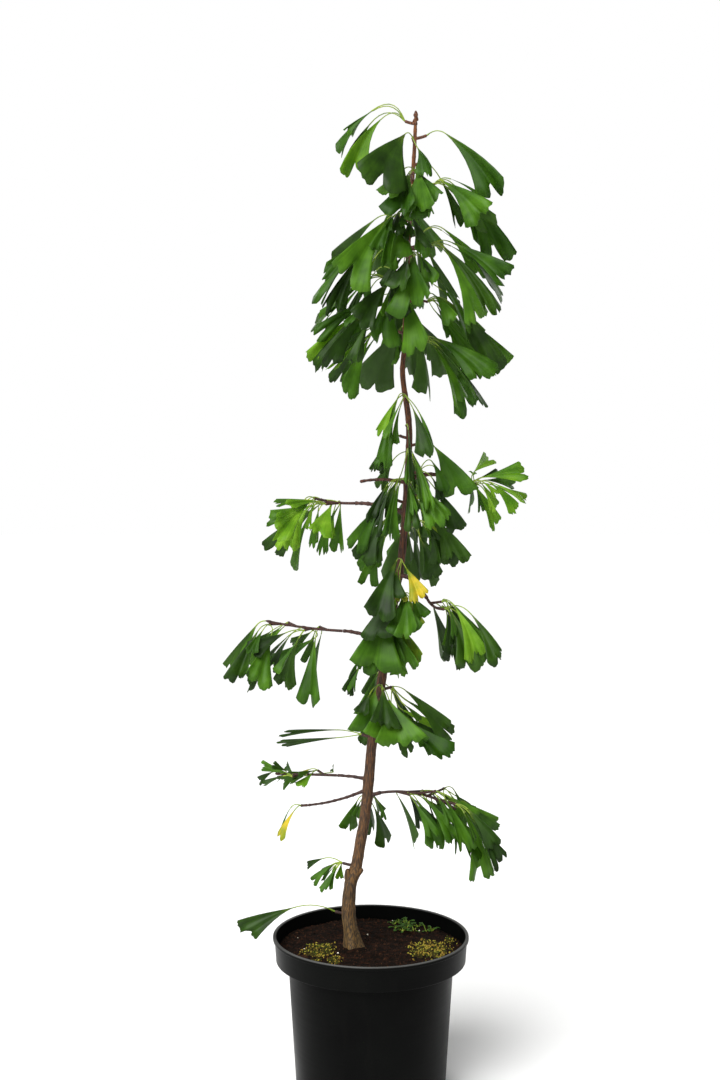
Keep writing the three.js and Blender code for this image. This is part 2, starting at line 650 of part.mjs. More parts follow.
// A leaf as a thin sheet: its faces, and the edges that another leaf's faces must keep clear of.
function leafSheet(leaf) {
  const margin = bladeMargin(leaf).map(([t, across]) => bladePoint(leaf, t, across, 0));
  const middle = bladePoint(leaf, 0.5, 0, 0);
  const [shoulder, tip, notch, otherTip, otherShoulder] = margin;
  const ring = [leaf.base, shoulder, notch, otherShoulder];
  const faces = ring.map((point, index) => [point, ring[(index + 1) % ring.length], middle]);
  faces.push([shoulder, tip, notch], [notch, otherTip, otherShoulder]);
  const outline = [leaf.base, ...margin];
  const edges = outline.map((point, index) => [point, outline[(index + 1) % outline.length]]);
  const halfway = bentPoint(leaf.root, leaf.knee, leaf.base, 0.5);
  edges.push([halfway, leaf.base], [leaf.base, middle], [middle, notch]);
  return { faces, edges };
}

function edgePierces([start, end], [a, b, c]) {
  const direction = end.clone().sub(start).normalize();
  const hit = new THREE.Ray(start, direction).intersectTriangle(a, b, c, false, new THREE.Vector3());
  return hit !== null && hit.distanceTo(start) < end.distanceTo(start);
}

function leavesCross(one, other) {
  const first = leafSheet(one);
  const second = leafSheet(other);
  const through = (edges, faces) => edges.some((edge) => faces.some((face) => edgePierces(edge, face)));
  return through(first.edges, second.faces) || through(second.edges, first.faces);
}

// The seeded rule: a leaf that would leave its mass's space or cross a leaf of the mass is drawn
// again a little smaller, and skipped when none of the tries fits.
function growMass(mass, order) {
  const random = seededRandom(FIRST_SEED + order);
  const stem = stemLine(mass);
  const twigs = twigLines(mass, stem, random);
  const onEach = Math.ceil(mass.leaves / twigs.length);
  const leaves = [];
  for (let index = 0; index < mass.leaves; index += 1) {
    const twig = twigs[index % twigs.length];
    const place = Math.floor(index / twigs.length);
    const rootShare = between(ROOTS_TO, mass.roots, onEach > 1 ? place / (onEach - 1) : 0);
    for (let attempt = 0; attempt < TRIES; attempt += 1) {
      const leaf = drawLeaf(mass, index, twig, rootShare, TRY_SHRINK ** attempt, random);
      if (leafFits(mass, leaf) && !leaves.some((other) => leavesCross(leaf, other))) {
        leaves.push(leaf);
        break;
      }
    }
  }
  return { twigs, leaves };
}

// ---------------------------------------------------------------- foliage solids

function petioleRing(leaf, centre, direction) {
  const [sideways, upwards] = acrossLeaf(leaf, direction);
  const half = (PETIOLE_RADIUS * Math.sqrt(3)) / 2;
  const left = along(centre, sideways, -half).addScaledVector(upwards, PETIOLE_RADIUS / 2);
  const right = along(centre, sideways, half).addScaledVector(upwards, PETIOLE_RADIUS / 2);
  return [left, right, along(centre, upwards, -PETIOLE_RADIUS)];
}

// A three-sided petiole that opens into a thin two-lobed blade, as one closed skin.
function leafSolid(leaf) {
  const thick = (leaf.length * LEAF_THICKNESS) / 2;
  const points = [];
  for (let step = 0; step < PETIOLE_STEPS; step += 1) {
    const t = step / PETIOLE_STEPS;
    const centre = bentPoint(leaf.root, leaf.knee, leaf.base, t);
    points.push(...petioleRing(leaf, centre, bentDirection(leaf.root, leaf.knee, leaf.base, t)));
  }
  points.push(...petioleRing(leaf, leaf.base, bentDirection(leaf.base, leaf.belly, leaf.tip, 0)));
  const faces = [[0, 2, 1], ...ringFaces(PETIOLE_STEPS + 1, 3)];

  const footLeft = PETIOLE_STEPS * 3;
  const footRight = footLeft + 1;
  const footUnder = footLeft + 2;
  const margin = bladeMargin(leaf);
  const over = margin.map(([t, across]) => points.push(bladePoint(leaf, t, across, thick)) - 1);
  const under = margin.map(([t, across]) => points.push(bladePoint(leaf, t, across, -thick)) - 1);
  const overMiddle = points.push(bladePoint(leaf, 0.5, 0, thick)) - 1;
  const underMiddle = points.push(bladePoint(leaf, 0.5, 0, -thick)) - 1;

  const [rightShoulder, rightTip, notch, leftTip, leftShoulder] = margin.keys();
  faces.push([footLeft, footRight, overMiddle]);
  faces.push([footRight, over[rightShoulder], overMiddle]);
  faces.push([over[leftShoulder], footLeft, overMiddle]);
  faces.push([footUnder, underMiddle, under[rightShoulder]]);
  faces.push([under[leftShoulder], underMiddle, footUnder]);
  for (const [first, second] of [
    [rightShoulder, notch],
    [notch, leftShoulder],
  ]) {
    faces.push([over[first], over[second], overMiddle]);
    faces.push([under[second], under[first], underMiddle]);
  }
  for (const [first, second, third] of [
    [rightShoulder, rightTip, notch],
    [notch, leftTip, leftShoulder],
  ]) {
    faces.push([over[first], over[second], over[third]]);
    faces.push([under[third], under[second], under[first]]);
  }
  for (let edge = 0; edge + 1 < margin.length; edge += 1) {
    faces.push([over[edge], under[edge], under[edge + 1]]);
    faces.push([over[edge], under[edge + 1], over[edge + 1]]);
  }
  faces.push([footRight, footUnder, under[rightShoulder]]);
  faces.push([footRight, under[rightShoulder], over[rightShoulder]]);
  faces.push([over[leftShoulder], under[leftShoulder], footUnder]);
  faces.push([over[leftShoulder], footUnder, footLeft]);
  return toSolid(points, faces);
}

function massNode(mass, order) {
  const { twigs, leaves } = growMass(mass, order);
  const [stem, ...sideTwigs] = twigs;
  let solid = limbSolid(stem, STEM_FOOT_RADIUS, STEM_TIP_RADIUS, STEM_SIDES, STEM_RINGS);
  for (const twig of sideTwigs) {
    solid = solid.add(limbSolid(twig, TWIG_FOOT_RADIUS, TWIG_TIP_RADIUS, 3, 2));
  }
  for (const leaf of leaves) {
    solid = solid.add(leafSolid(leaf));
  }
  return toNode(`foliage_${mass.name}`, solid, LEAF);
}

// ---------------------------------------------------------------- the whole plant

const plant = new THREE.Group();
plant.add(potNode());
plant.add(compostNode());
plant.add(toNode("trunk", trunkSolid(0), BARK));
for (const bough of BOUGHS) {
  plant.add(boughNode(bough));
}
MASSES.forEach((row, order) => {
  plant.add(massNode({ ...USUAL, ...row }, order));
});

export default plant;
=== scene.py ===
# %% [markdown]
# # A young ginkgo in a nursery pot
# The real plant is a sapling about 1.4 m tall. Its stem leans, has a bend low down where it was
# grafted, and carries a few short boughs, short spurs and long-stalked fan leaves that hang. It
# stands in a black moulded pot of compost. Everything is built in one frame: metres, +Z up, with
# the middle of the pot's flat underside at the origin. The frame holds plain solids for each part,
# and each cell below makes one finer part that takes the place of some of them.

import functools
import math

import bpy
import numpy as np
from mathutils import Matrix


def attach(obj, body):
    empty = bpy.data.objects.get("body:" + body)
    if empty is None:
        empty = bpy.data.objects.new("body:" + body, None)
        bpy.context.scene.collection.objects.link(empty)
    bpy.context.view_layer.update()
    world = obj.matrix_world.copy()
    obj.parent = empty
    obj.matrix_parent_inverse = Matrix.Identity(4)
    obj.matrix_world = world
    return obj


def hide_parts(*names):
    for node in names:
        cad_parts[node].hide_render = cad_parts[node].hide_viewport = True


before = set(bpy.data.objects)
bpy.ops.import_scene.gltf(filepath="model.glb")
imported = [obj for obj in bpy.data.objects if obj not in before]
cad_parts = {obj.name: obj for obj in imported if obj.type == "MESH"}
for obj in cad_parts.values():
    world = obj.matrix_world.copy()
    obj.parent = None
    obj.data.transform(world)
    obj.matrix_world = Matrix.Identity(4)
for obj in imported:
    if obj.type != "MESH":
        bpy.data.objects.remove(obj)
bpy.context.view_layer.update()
MM = 0.001

# %% [markdown]
# ## Camera, floor and light
# A tall plant is best seen from well back, so that the pot and the top keep their true
# proportions. The camera stands 2 m in front, just above the middle of the crown, and is tipped
# down a little. The floor is plain and pale. Soft light from the ceiling and a large lamp in front
# give even greens, and two lights from behind make thin leaves glow at their edges.

# %% Camera
CAMERA_PLACE = (-0.0157, -2.0, 0.883)
CAMERA_TIP_DOWN = math.radians(2.5)
CAMERA_LENS = 46.67
CAMERA_SENSOR = 36.0


def add_object(name, data, place=(0, 0, 0), turned=(0, 0, 0)):
    """A new object in the scene. A piece of the plant stays unturned at the origin."""
    new = bpy.data.objects.new(name, data)
    new.location = place
    new.rotation_euler = turned
    bpy.context.collection.objects.link(new)
    return new


camera_data = bpy.data.cameras.new("camera")
camera_data.lens = CAMERA_LENS
camera_data.sensor_width = CAMERA_SENSOR
camera = add_object("camera", camera_data, CAMERA_PLACE, (math.pi / 2 - CAMERA_TIP_DOWN, 0, 0))
bpy.context.scene.camera = camera
bpy.context.scene.view_settings.view_transform = "Standard"
print("camera lens", CAMERA_LENS, "mm")

# %% [markdown]
# Colours are written as the hex values that a painter or a web page would use. Blender's shaders
# count in linear light, so one function turns them over. A second small function adds any node
# with its settings and its links, which keeps each material short enough to read.

# %% Helpers for colours and nodes
def linear(hex_colour):
    """The linear RGBA of an sRGB hex colour such as "#3f7a22"."""
    values = [int(hex_colour[i : i + 2], 16) / 255 for i in (1, 3, 5)]
    return [v / 12.92 if v <= 0.04045 else ((v + 0.055) / 1.055) ** 2.4 for v in values] + [1.0]


def add_node(tree, kind, inputs=None, stops=(), **settings):
    """A node of a tree. inputs holds a value, a socket, or a node whose first output in use counts,
    for each named socket. stops are those of a colour ramp, as (place, hex colour)."""
    node = tree.nodes.new(kind)
    for name, value in settings.items():
        setattr(node, name, value)
    for name, value in (inputs or {}).items():
        if isinstance(value, bpy.types.Node):
            value = next(output for output in value.outputs if output.enabled)
        if isinstance(value, bpy.types.NodeSocket):
            tree.links.new(value, node.inputs[name])
        else:
            node.inputs[name].default_value = value
    if stops:
        elements = node.color_ramp.elements
        while len(elements) < len(stops):
            elements.new(0.5)
        for element, (place, colour) in zip(elements, stops):
            element.position = place
            element.color = linear(colour)
    return node


def make_material(name, finish, *facts):
    """A material whose shader finish returns, given the function that adds a node, the Object
    coordinates and any facts of its own."""
    material = bpy.data.materials.new(name)
    material.use_nodes = True
    material.node_tree.nodes.clear()
    add = functools.partial(add_node, material.node_tree)
    place = add("ShaderNodeTexCoord").outputs["Object"]
    add("ShaderNodeOutputMaterial", {"Surface": finish(add, place, *facts)})
    return material


print("pure green in linear light:", linear("#00ff00"))

# %% Floor and lights
FLOOR_HALF = 20.0
CROWN_MIDDLE = (0.0, 0.0, 0.85)
CEILING_POWER, CEILING_SPREAD = 4.0, math.radians(50)
CEILING_TURN = (math.radians(42), 0, math.radians(-34))
BACKDROP_WHITE = 1.0
ROOM_LIGHT = 0.22
# Name, place, side in metres and power in watts of each square soft light.
SOFT_LIGHTS = [
    ("key", (-1.4, -2.4, 2.2), 1.2, 20),
    ("left_edge", (-1.5, 1.5, 1.9), 1.0, 12),
    ("right_edge", (1.6, 1.4, 1.7), 1.0, 12),
]


def painted_board(add, place):
    """Matt painted board: pale, with a very faint mottle, so that shadows lie softly on it."""
    mottle = add("ShaderNodeTexNoise", {"Vector": place, "Scale": 3.0})
    shade = add("ShaderNodeValToRGB", {"Fac": mottle}, [(0.3, "#fafaf9"), (0.7, "#fcfcfb")])
    return add("ShaderNodeBsdfPrincipled", {"Base Color": shade, "Roughness": 0.7})


def add_light(name, kind, power, place, turned, **settings):
    light = bpy.data.lights.new(name, kind)
    light.energy = power
    for setting, value in settings.items():
        setattr(light, setting, value)
    add_object(name, light, place, turned)


def aimed_from(place):
    """The turn that makes a light at place shine at the crown."""
    x, y, z = np.array(place) - CROWN_MIDDLE
    return math.atan2(math.hypot(x, y), z), 0, math.atan2(x, -y)


board = bpy.data.meshes.new("studio_floor")
corners = ((-1, -1, 0), (1, -1, 0), (1, 1, 0), (-1, 1, 0))
board.from_pydata((np.array(corners) * FLOOR_HALF).tolist(), [], [(0, 1, 2, 3)])
board.materials.append(make_material("painted_board", painted_board))
floor = add_object("studio_floor", board)
add_light("ceiling", "SUN", CEILING_POWER, (0, 0, 0), CEILING_TURN, angle=CEILING_SPREAD)
for name, place, side, power in SOFT_LIGHTS:
    add_light(name, "AREA", power, place, aimed_from(place), size=side)

world = bpy.data.worlds.new("studio")
bpy.context.scene.world = world
world.use_nodes = True
world.node_tree.nodes.clear()
add = functools.partial(add_node, world.node_tree)
seen = add("ShaderNodeLightPath").outputs["Is Camera Ray"]
strength = add("ShaderNodeMapRange", {0: seen, 3: ROOM_LIGHT, 4: BACKDROP_WHITE})
backdrop = add("ShaderNodeBackground", {"Color": linear("#ffffff"), "Strength": strength})
add("ShaderNodeOutputWorld", {"Surface": backdrop})

# %% [markdown]
# ## The plant's own sizes
# A sapling isn't modelled leaf by leaf. The stem is one line with its diameters, the boughs are
# rows of named sizes, and so are the sprays of leaves: the heights between which a spray keeps,
# how far out it may reach, how many leaves it has and how long they are. A seeded rule then grows
# each spray from its row, so that the same plant comes out on every run. Sizes are in millimetres
# here, and angles are in degrees.

# %% Sizes of the stem and the boughs
GAP = 0.35  # between the frame's plain solids
COMPOST_TOP = 209.0

# Height above the compost, x, y and diameter.
TRUNK_LINE = np.array([
    (0, -24, -15, 30), (18, -27, -14, 23), (46, -32, -11, 20), (92, -29, -6, 18.5),
    (106, -24, -4, 20), (122, -20, -2, 16.5), (200, -7, 2, 15.5), (304, 3, 3, 14.5),
    (407, 19, 0, 13), (486, 31, -2, 12), (565, 44, -3, 11), (692, 53, 0, 9.5), (753, 54, 2, 9),
    (823, 45, 3, 7.5), (860, 47, 2, 7), (1026, 54, 0, 6), (1138, 61, -1, 5.5), (1186, 63, -1, 4.5),
])
TRUNK_POINTS = TRUNK_LINE[:, [1, 2, 0]] + (0, 0, COMPOST_TOP)
# The height of its foot, the way it goes out, how far out and up, the arch of its middle, and its
# diameters at foot and tip.
BOUGHS = [
    dict(name="bough_left_upper", foot=834, turn=170, reach=74, climb=14, arch=4, thick=6.6,
         thin=4.6),
    dict(name="bough_left_stub", foot=877, turn=186, reach=68, climb=2, arch=4, thick=5, thin=3.4),
    dict(name="bough_right_upper", foot=881, turn=8, reach=67, climb=1, arch=8, thick=6.6,
         thin=4.4),
    dict(name="bough_right_middle", foot=745, turn=-30, reach=46, climb=-32, arch=9, thick=6,
         thin=4.2),
    dict(name="bough_left_middle", foot=646, turn=178, reach=64, climb=19, arch=4, thick=6,
         thin=4.4),
    dict(name="bough_left_lower", foot=450, turn=176, reach=46, climb=5, arch=1, thick=5, thin=3.6),
    dict(name="bough_left_low", foot=436, turn=190, reach=88, climb=-20, arch=-4, thick=4.4,
         thin=3),
    dict(name="bough_right_lower", foot=424, turn=-14, reach=21, climb=8, arch=1, thick=6, thin=5),
]
print("stem of", len(TRUNK_LINE), "places and", len(BOUGHS), "boughs")

# %% [markdown]
# A spray keeps the space from `low` to `high`, from `near` to `far` out from the crown's middle,
# and from `from_` to `to` in turn. Its stem starts at `foot`, which is a height, a bough, or None
# for the highest place that leaves headroom, and runs `stem` out and `climb` up, or on with a
# `droop`. It has `twigs` side twigs of the length `twig`. Its `leaves` sit from the outer end of
# each twig back to its share `roots`. A leaf's stalk is `petiole` long, which `trail` lengthens
# for the first leaf. It turns up to `swing` to either side and goes out with a `rise`, and the
# blade, which is `blade` long and `spread` times that wide, hangs at `fall`, give or take `sway`.

# %% Sizes of the sprays
# The way out from the stem on each side, and the way in which the leaves there face.
SIDES = {
    "left": dict(turn=180, face=252),
    "right": dict(turn=0, face=288),
    "front": dict(turn=270, face=270),
    "back": dict(turn=90, face=90),
}
# What a spray has unless its own row says otherwise.
USUAL = dict(near=14, from_=-45, to=45, stem=9, climb=8, droop=0, twigs=0, twig=18, roots=0.4,
             swing=38, petiole=31, rise=20, fall=-72, sway=14, trail=1, foot=None)
MASSES = [
    dict(name="left_1", foot=1380, low=1284, high=1432, far=150, stem=12, leaves=2, blade=108,
         spread=0.56, petiole=72, swing=14, rise=62, fall=-80),
    dict(name="left_2", foot=1066, low=986, high=1282, far=152, stem=16, climb=200, twigs=4,
         twig=20, roots=0.2, leaves=16, blade=112, spread=0.31, petiole=36, fall=-66, sway=20),
    dict(name="left_3", low=886, high=960, far=72, climb=14, leaves=3, blade=64, spread=0.35,
         petiole=20, rise=0, fall=-80),
    dict(name="left_4", low=712, high=871, near=20, far=76, from_=2, climb=56, leaves=4,
         blade=98, spread=0.5, petiole=20, swing=18, fall=-82),
    dict(name="left_5", low=712, high=826, far=76, to=-2, climb=16, leaves=3, blade=90,
         spread=0.5, petiole=24, swing=18, fall=-78),
    dict(name="left_upper", foot="bough_left_upper", low=708, high=918, near=77, far=200,
         stem=52, droop=14, twigs=4, twig=28, roots=0.1, leaves=11, blade=96, spread=0.36,
         petiole=30, swing=80, rise=20, fall=-60, sway=56),
    dict(name="left_middle", foot="bough_left_middle", low=545, high=708, near=60, far=236,
         stem=112, droop=12, twigs=4, twig=22, roots=0.1, leaves=10, blade=92, spread=0.5,
         petiole=30, swing=80, rise=0, fall=-64, sway=32),
    dict(name="left_6", low=540, high=640, far=58, stem=14, climb=14, leaves=3, blade=62,
         spread=0.6, petiole=26, fall=-80),
    dict(name="left_7", foot=508, low=484, high=538, far=160, leaves=2, blade=92, spread=0.16,
         petiole=44, swing=14, rise=8, fall=-14, sway=8),
    dict(name="left_lower", foot="bough_left_lower", low=426, high=482, near=47, far=166,
         stem=90, twigs=2, twig=16, roots=0.05, leaves=7, blade=40, spread=0.55, petiole=14,
         swing=75, rise=20, fall=-8, sway=45),
    dict(name="left_low", foot="bough_left_low", low=348, high=424, near=88, far=152, stem=10,
         leaves=2, blade=46, spread=0.32, petiole=22, fall=-78),
    dict(name="left_kink", foot=326, low=284, high=362, near=16, far=84, stem=12, climb=4,
         leaves=5, blade=40, spread=0.42, petiole=17, trail=2, swing=70, rise=14, fall=-64,
         sway=34),
    dict(name="left_basal", foot=254, low=229, high=282, far=172, leaves=1, blade=78,
         spread=0.42, petiole=58, swing=8, rise=16, fall=-40),
    dict(name="right_1", foot=1026, low=960, high=1436, far=150, from_=-66, stem=14,
         climb=366, twigs=4, twig=22, roots=0.35, leaves=22, blade=124, spread=0.4, petiole=36,
         swing=46, rise=34, fall=-68, sway=18),
    dict(name="right_2", low=736, high=958, near=16, far=114, to=-10, stem=12, climb=140,
         twigs=1, twig=16, roots=0, leaves=8, blade=100, spread=0.6, petiole=26, swing=16, rise=10,
         fall=-78),
    dict(name="right_3", low=748, high=870, far=70, from_=-8, climb=26, leaves=4, blade=76,
         spread=0.45, petiole=22),
    dict(name="right_upper", foot="bough_right_upper", low=736, high=932, near=71, far=188,
         from_=-8, stem=36, droop=4, twigs=2, twig=22, roots=0.2, leaves=9, blade=74, spread=0.44,
         petiole=30, swing=75, rise=25, fall=-30, sway=55),
    dict(name="right_middle", foot="bough_right_middle", low=604, high=734, near=44, far=196,
         stem=36, droop=8, twigs=2, twig=26, roots=0.1, leaves=10, blade=104, spread=0.44,
         petiole=28, swing=80, fall=-76, trail=2.2),
    dict(name="right_4", low=484, high=602, far=126, climb=46, twigs=1, roots=0, leaves=7,
         blade=88, spread=0.5, petiole=24, rise=5, fall=-62, sway=22),
    dict(name="right_lower", foot="bough_right_lower", low=292, high=482, near=18, far=200,
         stem=118, droop=-30, twigs=6, twig=32, roots=0.05, leaves=18, blade=96, spread=0.42,
         petiole=27, swing=62, rise=6, fall=-62, sway=30),
    dict(name="front_1", foot=1116, low=1030, high=1416, far=132, to=24, stem=16, climb=262,
         twigs=4, twig=18, roots=0.3, leaves=13, blade=116, spread=0.54, petiole=30, rise=26,
         fall=-68),
    dict(name="front_2", low=792, high=1026, far=96, climb=148, twigs=1, roots=0.2, leaves=8,
         blade=116, spread=0.3, petiole=28, swing=55, sway=22),
    dict(name="front_3", low=606, high=790, far=104, climb=110, twigs=2, roots=0.1, leaves=9,
         blade=102, spread=0.7, petiole=22),
    dict(name="front_4", low=480, high=604, far=112, stem=14, climb=16, leaves=3, blade=100,
         spread=1, petiole=36, swing=24),
    dict(name="back_1", foot=1070, low=990, high=1400, far=140, stem=16, climb=284, twigs=4,
         twig=20, roots=0.2, leaves=13, blade=112, spread=0.42, rise=26, fall=-68, sway=18),
    dict(name="back_2", low=684, high=946, far=124, climb=140, twigs=1, leaves=10, blade=88,
         spread=0.48),
    dict(name="back_3", low=440, high=682, far=124, climb=130, twigs=1, leaves=7, blade=82,
         spread=0.52),
    dict(name="back_4", low=310, high=438, far=112, climb=20, leaves=4, blade=74, spread=0.5),
]
SPRAYS = [{**USUAL, **SIDES[row["name"].split("_")[0]], **row} for row in MASSES]
print(len(SPRAYS), "sprays, with", sum(row["leaves"] for row in SPRAYS), "leaves asked for")

# %% [markdown]
# ## The rule of growth
# The frame's plain masses were grown by a rule, and the same rule is written here again: the same
# random numbers, drawn in the same order, so each fine leaf lies where its plain one does. A stem
# runs out of the trunk or on from a bough's tip, side twigs branch from it, and each leaf's stalk
# bends over until the blade hangs. A leaf that would leave its spray's space or cross a leaf of
# the same spray is drawn again a little smaller.

# %% Small mathematics
def between(low, high, share):
    return low + (high - low) * share


def towards(turn, climb):
    turn, climb = math.radians(turn), math.radians(climb)
    level = math.cos(climb)
    return np.array([level * math.cos(turn), level * math.sin(turn), math.sin(climb)])


def bent_point(a, b, c, t):
    """A point of the curve that leaves a towards b and comes from b into c. t may be an array."""
    t = np.asarray(t, float)[..., None]
    return a * (1 - t) ** 2 + b * (2 * t * (1 - t)) + c * t**2


def bent_direction(a, b, c, t):
    t = np.asarray(t, float)[..., None]
    way = (b - a) * (1 - t) + (c - b) * t
    return way / np.linalg.norm(way, axis=-1, keepdims=True)


def line_length(line):
    return np.linalg.norm(line[1] - line[0]) + np.linalg.norm(line[2] - line[1])


def seeded_random(seed):
    """Numbers between two limits, the same on every run."""
    state = [(seed * 48271) & 0xFFFFFFFF]

    def draw(low, high):
        state[0] = (state[0] * 1664525 + 1013904223) & 0xFFFFFFFF
        return between(low, high, state[0] / 4294967296)

    return draw


print("first numbers of seed 20:", [round(seeded_random(20)(0, 1), 4) for _ in range(2)])

# %% The stem's line
HALVINGS = 40


def trunk_point(share):
    """The centripetal Catmull-Rom curve through the stem's places."""
    last = len(TRUNK_POINTS) - 1
    first = min(int(last * share), last - 1)
    weight = last * share - first
    p1, p2 = TRUNK_POINTS[first], TRUNK_POINTS[first + 1]
    p0 = TRUNK_POINTS[first - 1] if first > 0 else 2 * p1 - p2
    p3 = TRUNK_POINTS[first + 2] if first + 2 <= last else 2 * p2 - p1
    d0, d1, d2 = (math.sqrt(np.linalg.norm(b - a)) for a, b in ((p0, p1), (p1, p2), (p2, p3)))
    leaves = ((p1 - p0) / d0 - (p2 - p0) / (d0 + d1) + (p2 - p1) / d1) * d1
    comes = ((p2 - p1) / d1 - (p3 - p1) / (d1 + d2) + (p3 - p2) / d2) * d1
    square = -3 * p1 + 3 * p2 - 2 * leaves - comes
    cube = 2 * p1 - 2 * p2 + leaves + comes
    return p1 + weight * (leaves + weight * (square + weight * cube))


def trunk_middle(height):
    low, high = 0.0, 1.0
    for _ in range(HALVINGS):
        half = (low + high) / 2
        if trunk_point(half)[2] < height:
            low = half
        else:
            high = half
    return trunk_point(low)


def trunk_diameter(above):
    return np.interp(above, TRUNK_LINE[:, 0], TRUNK_LINE[:, 3])


def bough_line(bough):
    start = trunk_middle(bough["foot"])
    end = start + towards(bough["turn"], 0) * bough["reach"] + (0, 0, bough["climb"])
    return start, (start + end) / 2 + (0, 0, 2 * bough["arch"]), end


stem_tip = trunk_middle(COMPOST_TOP + TRUNK_LINE[-1, 0])
print("stem's tip at", stem_tip.round(1))

# %% Where a spray may be, and its stem and side twigs
HEADROOM = 14  # between a stem's tip and the top of its space
STEM_CLEAR = GAP + 0.4
SPACE_MARGIN = 2
TWIGS_FROM = 0.2
TWIG_TURNS, TWIG_CLIMBS, TWIG_LENGTHS = (35, 60), (-10, 20), (0.8, 1.2)
STEM_BEND = 0.3
STEM_BULGE = 1.3
STEM_FOOT_RADIUS = 2.3
CROWN_FOOT, CROWN_LEAN = -30, 0.125
BEND, BEND_HEIGHT, BEND_HALF = 6.3, 640, 60


def crown_middle(height):
    """The x of the crown's middle. It leans as the stem does, and above the bend it leans less."""
    above = height - COMPOST_TOP
    bend = np.log(1 + np.exp((above - BEND_HEIGHT) / BEND_HALF))
    return CROWN_FOOT + CROWN_LEAN * above - BEND * bend


def inside_space(spray, points):
    turn = math.radians(spray["turn"])
    x, y, z = points[:, 0] - crown_middle(points[:, 2]), points[:, 1], points[:, 2]
    out = x * math.cos(turn) + y * math.sin(turn)
    across = y * math.cos(turn) - x * math.sin(turn)
    first, last = (out * math.tan(math.radians(spray[key])) for key in ("from_", "to"))
    level = (z > spray["low"] + SPACE_MARGIN) & (z < spray["high"] - SPACE_MARGIN)
    reach = (out > spray["near"]) & (out < spray["far"])
    sector = (across > first + SPACE_MARGIN) & (across < last - SPACE_MARGIN)
    return bool(np.all(level & reach & sector))


def middle_turn(spray):
    return spray["turn"] + (spray["from_"] + spray["to"]) / 2


def on_trunk(spray):
    return not isinstance(spray["foot"], str)


def stem_line(spray):
    """A spray's stem, which runs on from its bough or rises out of the trunk."""
    if not on_trunk(spray):
        bough = next(row for row in BOUGHS if row["name"] == spray["foot"])
        line = bough_line(bough)
        direction = bent_direction(*line, 1)
        start = line[2] + direction * GAP
        bend = start + direction * spray["stem"] / 2
        return start, bend, bend + towards(bough["turn"], spray["droop"]) * spray["stem"] / 2
    out = towards(middle_turn(spray), 0)
    foot = spray["foot"] or spray["high"] - HEADROOM - spray["climb"]
    heights = foot, foot + STEM_BEND * spray["climb"], foot + spray["climb"]
    sides = [trunk_diameter(z - COMPOST_TOP) / 2 + STEM_CLEAR for z in heights]
    bulge = STEM_BULGE * spray["stem"]
    lean = (heights[1] - foot) / math.hypot(heights[1] - foot, bulge)
    ways_out = STEM_FOOT_RADIUS * lean, bulge, spray["stem"]
    return [trunk_middle(z) + out * (side + way) for z, side, way in zip(heights, sides, ways_out)]


def twig_lines(spray, stem, random):
    lines = [stem]
    for index in range(spray["twigs"]):
        start = bent_point(*stem, between(TWIGS_FROM, 1, index / spray["twigs"]))
        hand = index % 2 * 2 - 1
        direction = towards(middle_turn(spray) + hand * random(*TWIG_TURNS), random(*TWIG_CLIMBS))
        length = spray["twig"] * random(*TWIG_LENGTHS)
        lines.append((start, start + direction * length / 2, start + direction * length))
    return lines


print("crown's middle at 1 m:", round(float(crown_middle(1000.0)), 1))

# %% One leaf of the rule
# Limits of what chance adds to turn, rise and face, of the factors it gives the sizes, and of fold,
# notch and the length of the shorter lobe.
LUCK = dict(turn=(-14, 14), rise=(-7, 7), petiole=(0.8, 1.2), length=(0.78, 1.14),
            width=(0.7, 1.22), face=(-58, 58), fold=(6, 30), notch=(0.08, 0.34),
            short_lobe=(0.86, 1), longer=(0, 1))
GOLDEN, GOLDEN_START = 0.618, 0.3  # deal neighbouring leaves evenly to both sides
ALTERNATE_RISE = 9
STEEPEST = -88
TURN_OVER = 0.72  # the share of the way from rise to fall that a stalk has turned at its end
FACE_CLIMB = 25
SHOULDER = 0.8  # of a lobe's length
LOBE_TIP, NOTCH = 0.55, 0.04  # how far across they lie


def draw_leaf(spray, index, root, shrink, random):
    """A leaf's lines and sizes. Its stalk bends over to the blade, which bends on down."""

    def luck(of):
        return random(*LUCK[of])

    hand = 2 * ((index * GOLDEN + GOLDEN_START) % 1) - 1
    turn = middle_turn(spray) + spray["swing"] * hand + luck("turn")
    rise = spray["rise"] + (-1) ** index * ALTERNATE_RISE + luck("rise")
    petiole = spray["petiole"] * (spray["trail"] if index == 0 else 1) * luck("petiole")
    length = spray["blade"] * shrink * luck("length")
    width = length * spray["spread"] * luck("width")
    fall = max(STEEPEST, spray["fall"] + random(-spray["sway"], spray["sway"]))
    face = spray["face"] + luck("face")
    fold, notch, short_lobe = luck("fold"), luck("notch"), luck("short_lobe")
    left_longer = luck("longer") > 0.5
    turn_over = towards(turn, between(rise, fall, TURN_OVER))
    knee = root + towards(turn, rise) * petiole / 2
    base = knee + turn_over * petiole / 2
    belly = base + turn_over * length / 2
    tip = belly + towards(turn, fall) * length / 2
    level = towards(turn + 90, 0)
    sideways = np.cross(towards(turn, fall), towards(face, FACE_CLIMB))
    roll = math.atan2(sideways @ np.cross(level, towards(turn, fall)), sideways @ level)
    return dict(stalk=(root, knee, base), blade=(base, belly, tip), length=length, width=width,
                level=level, roll=roll, fold=math.radians(fold), notch=notch,
                right=short_lobe if left_longer else 1, left=1 if left_longer else short_lobe)


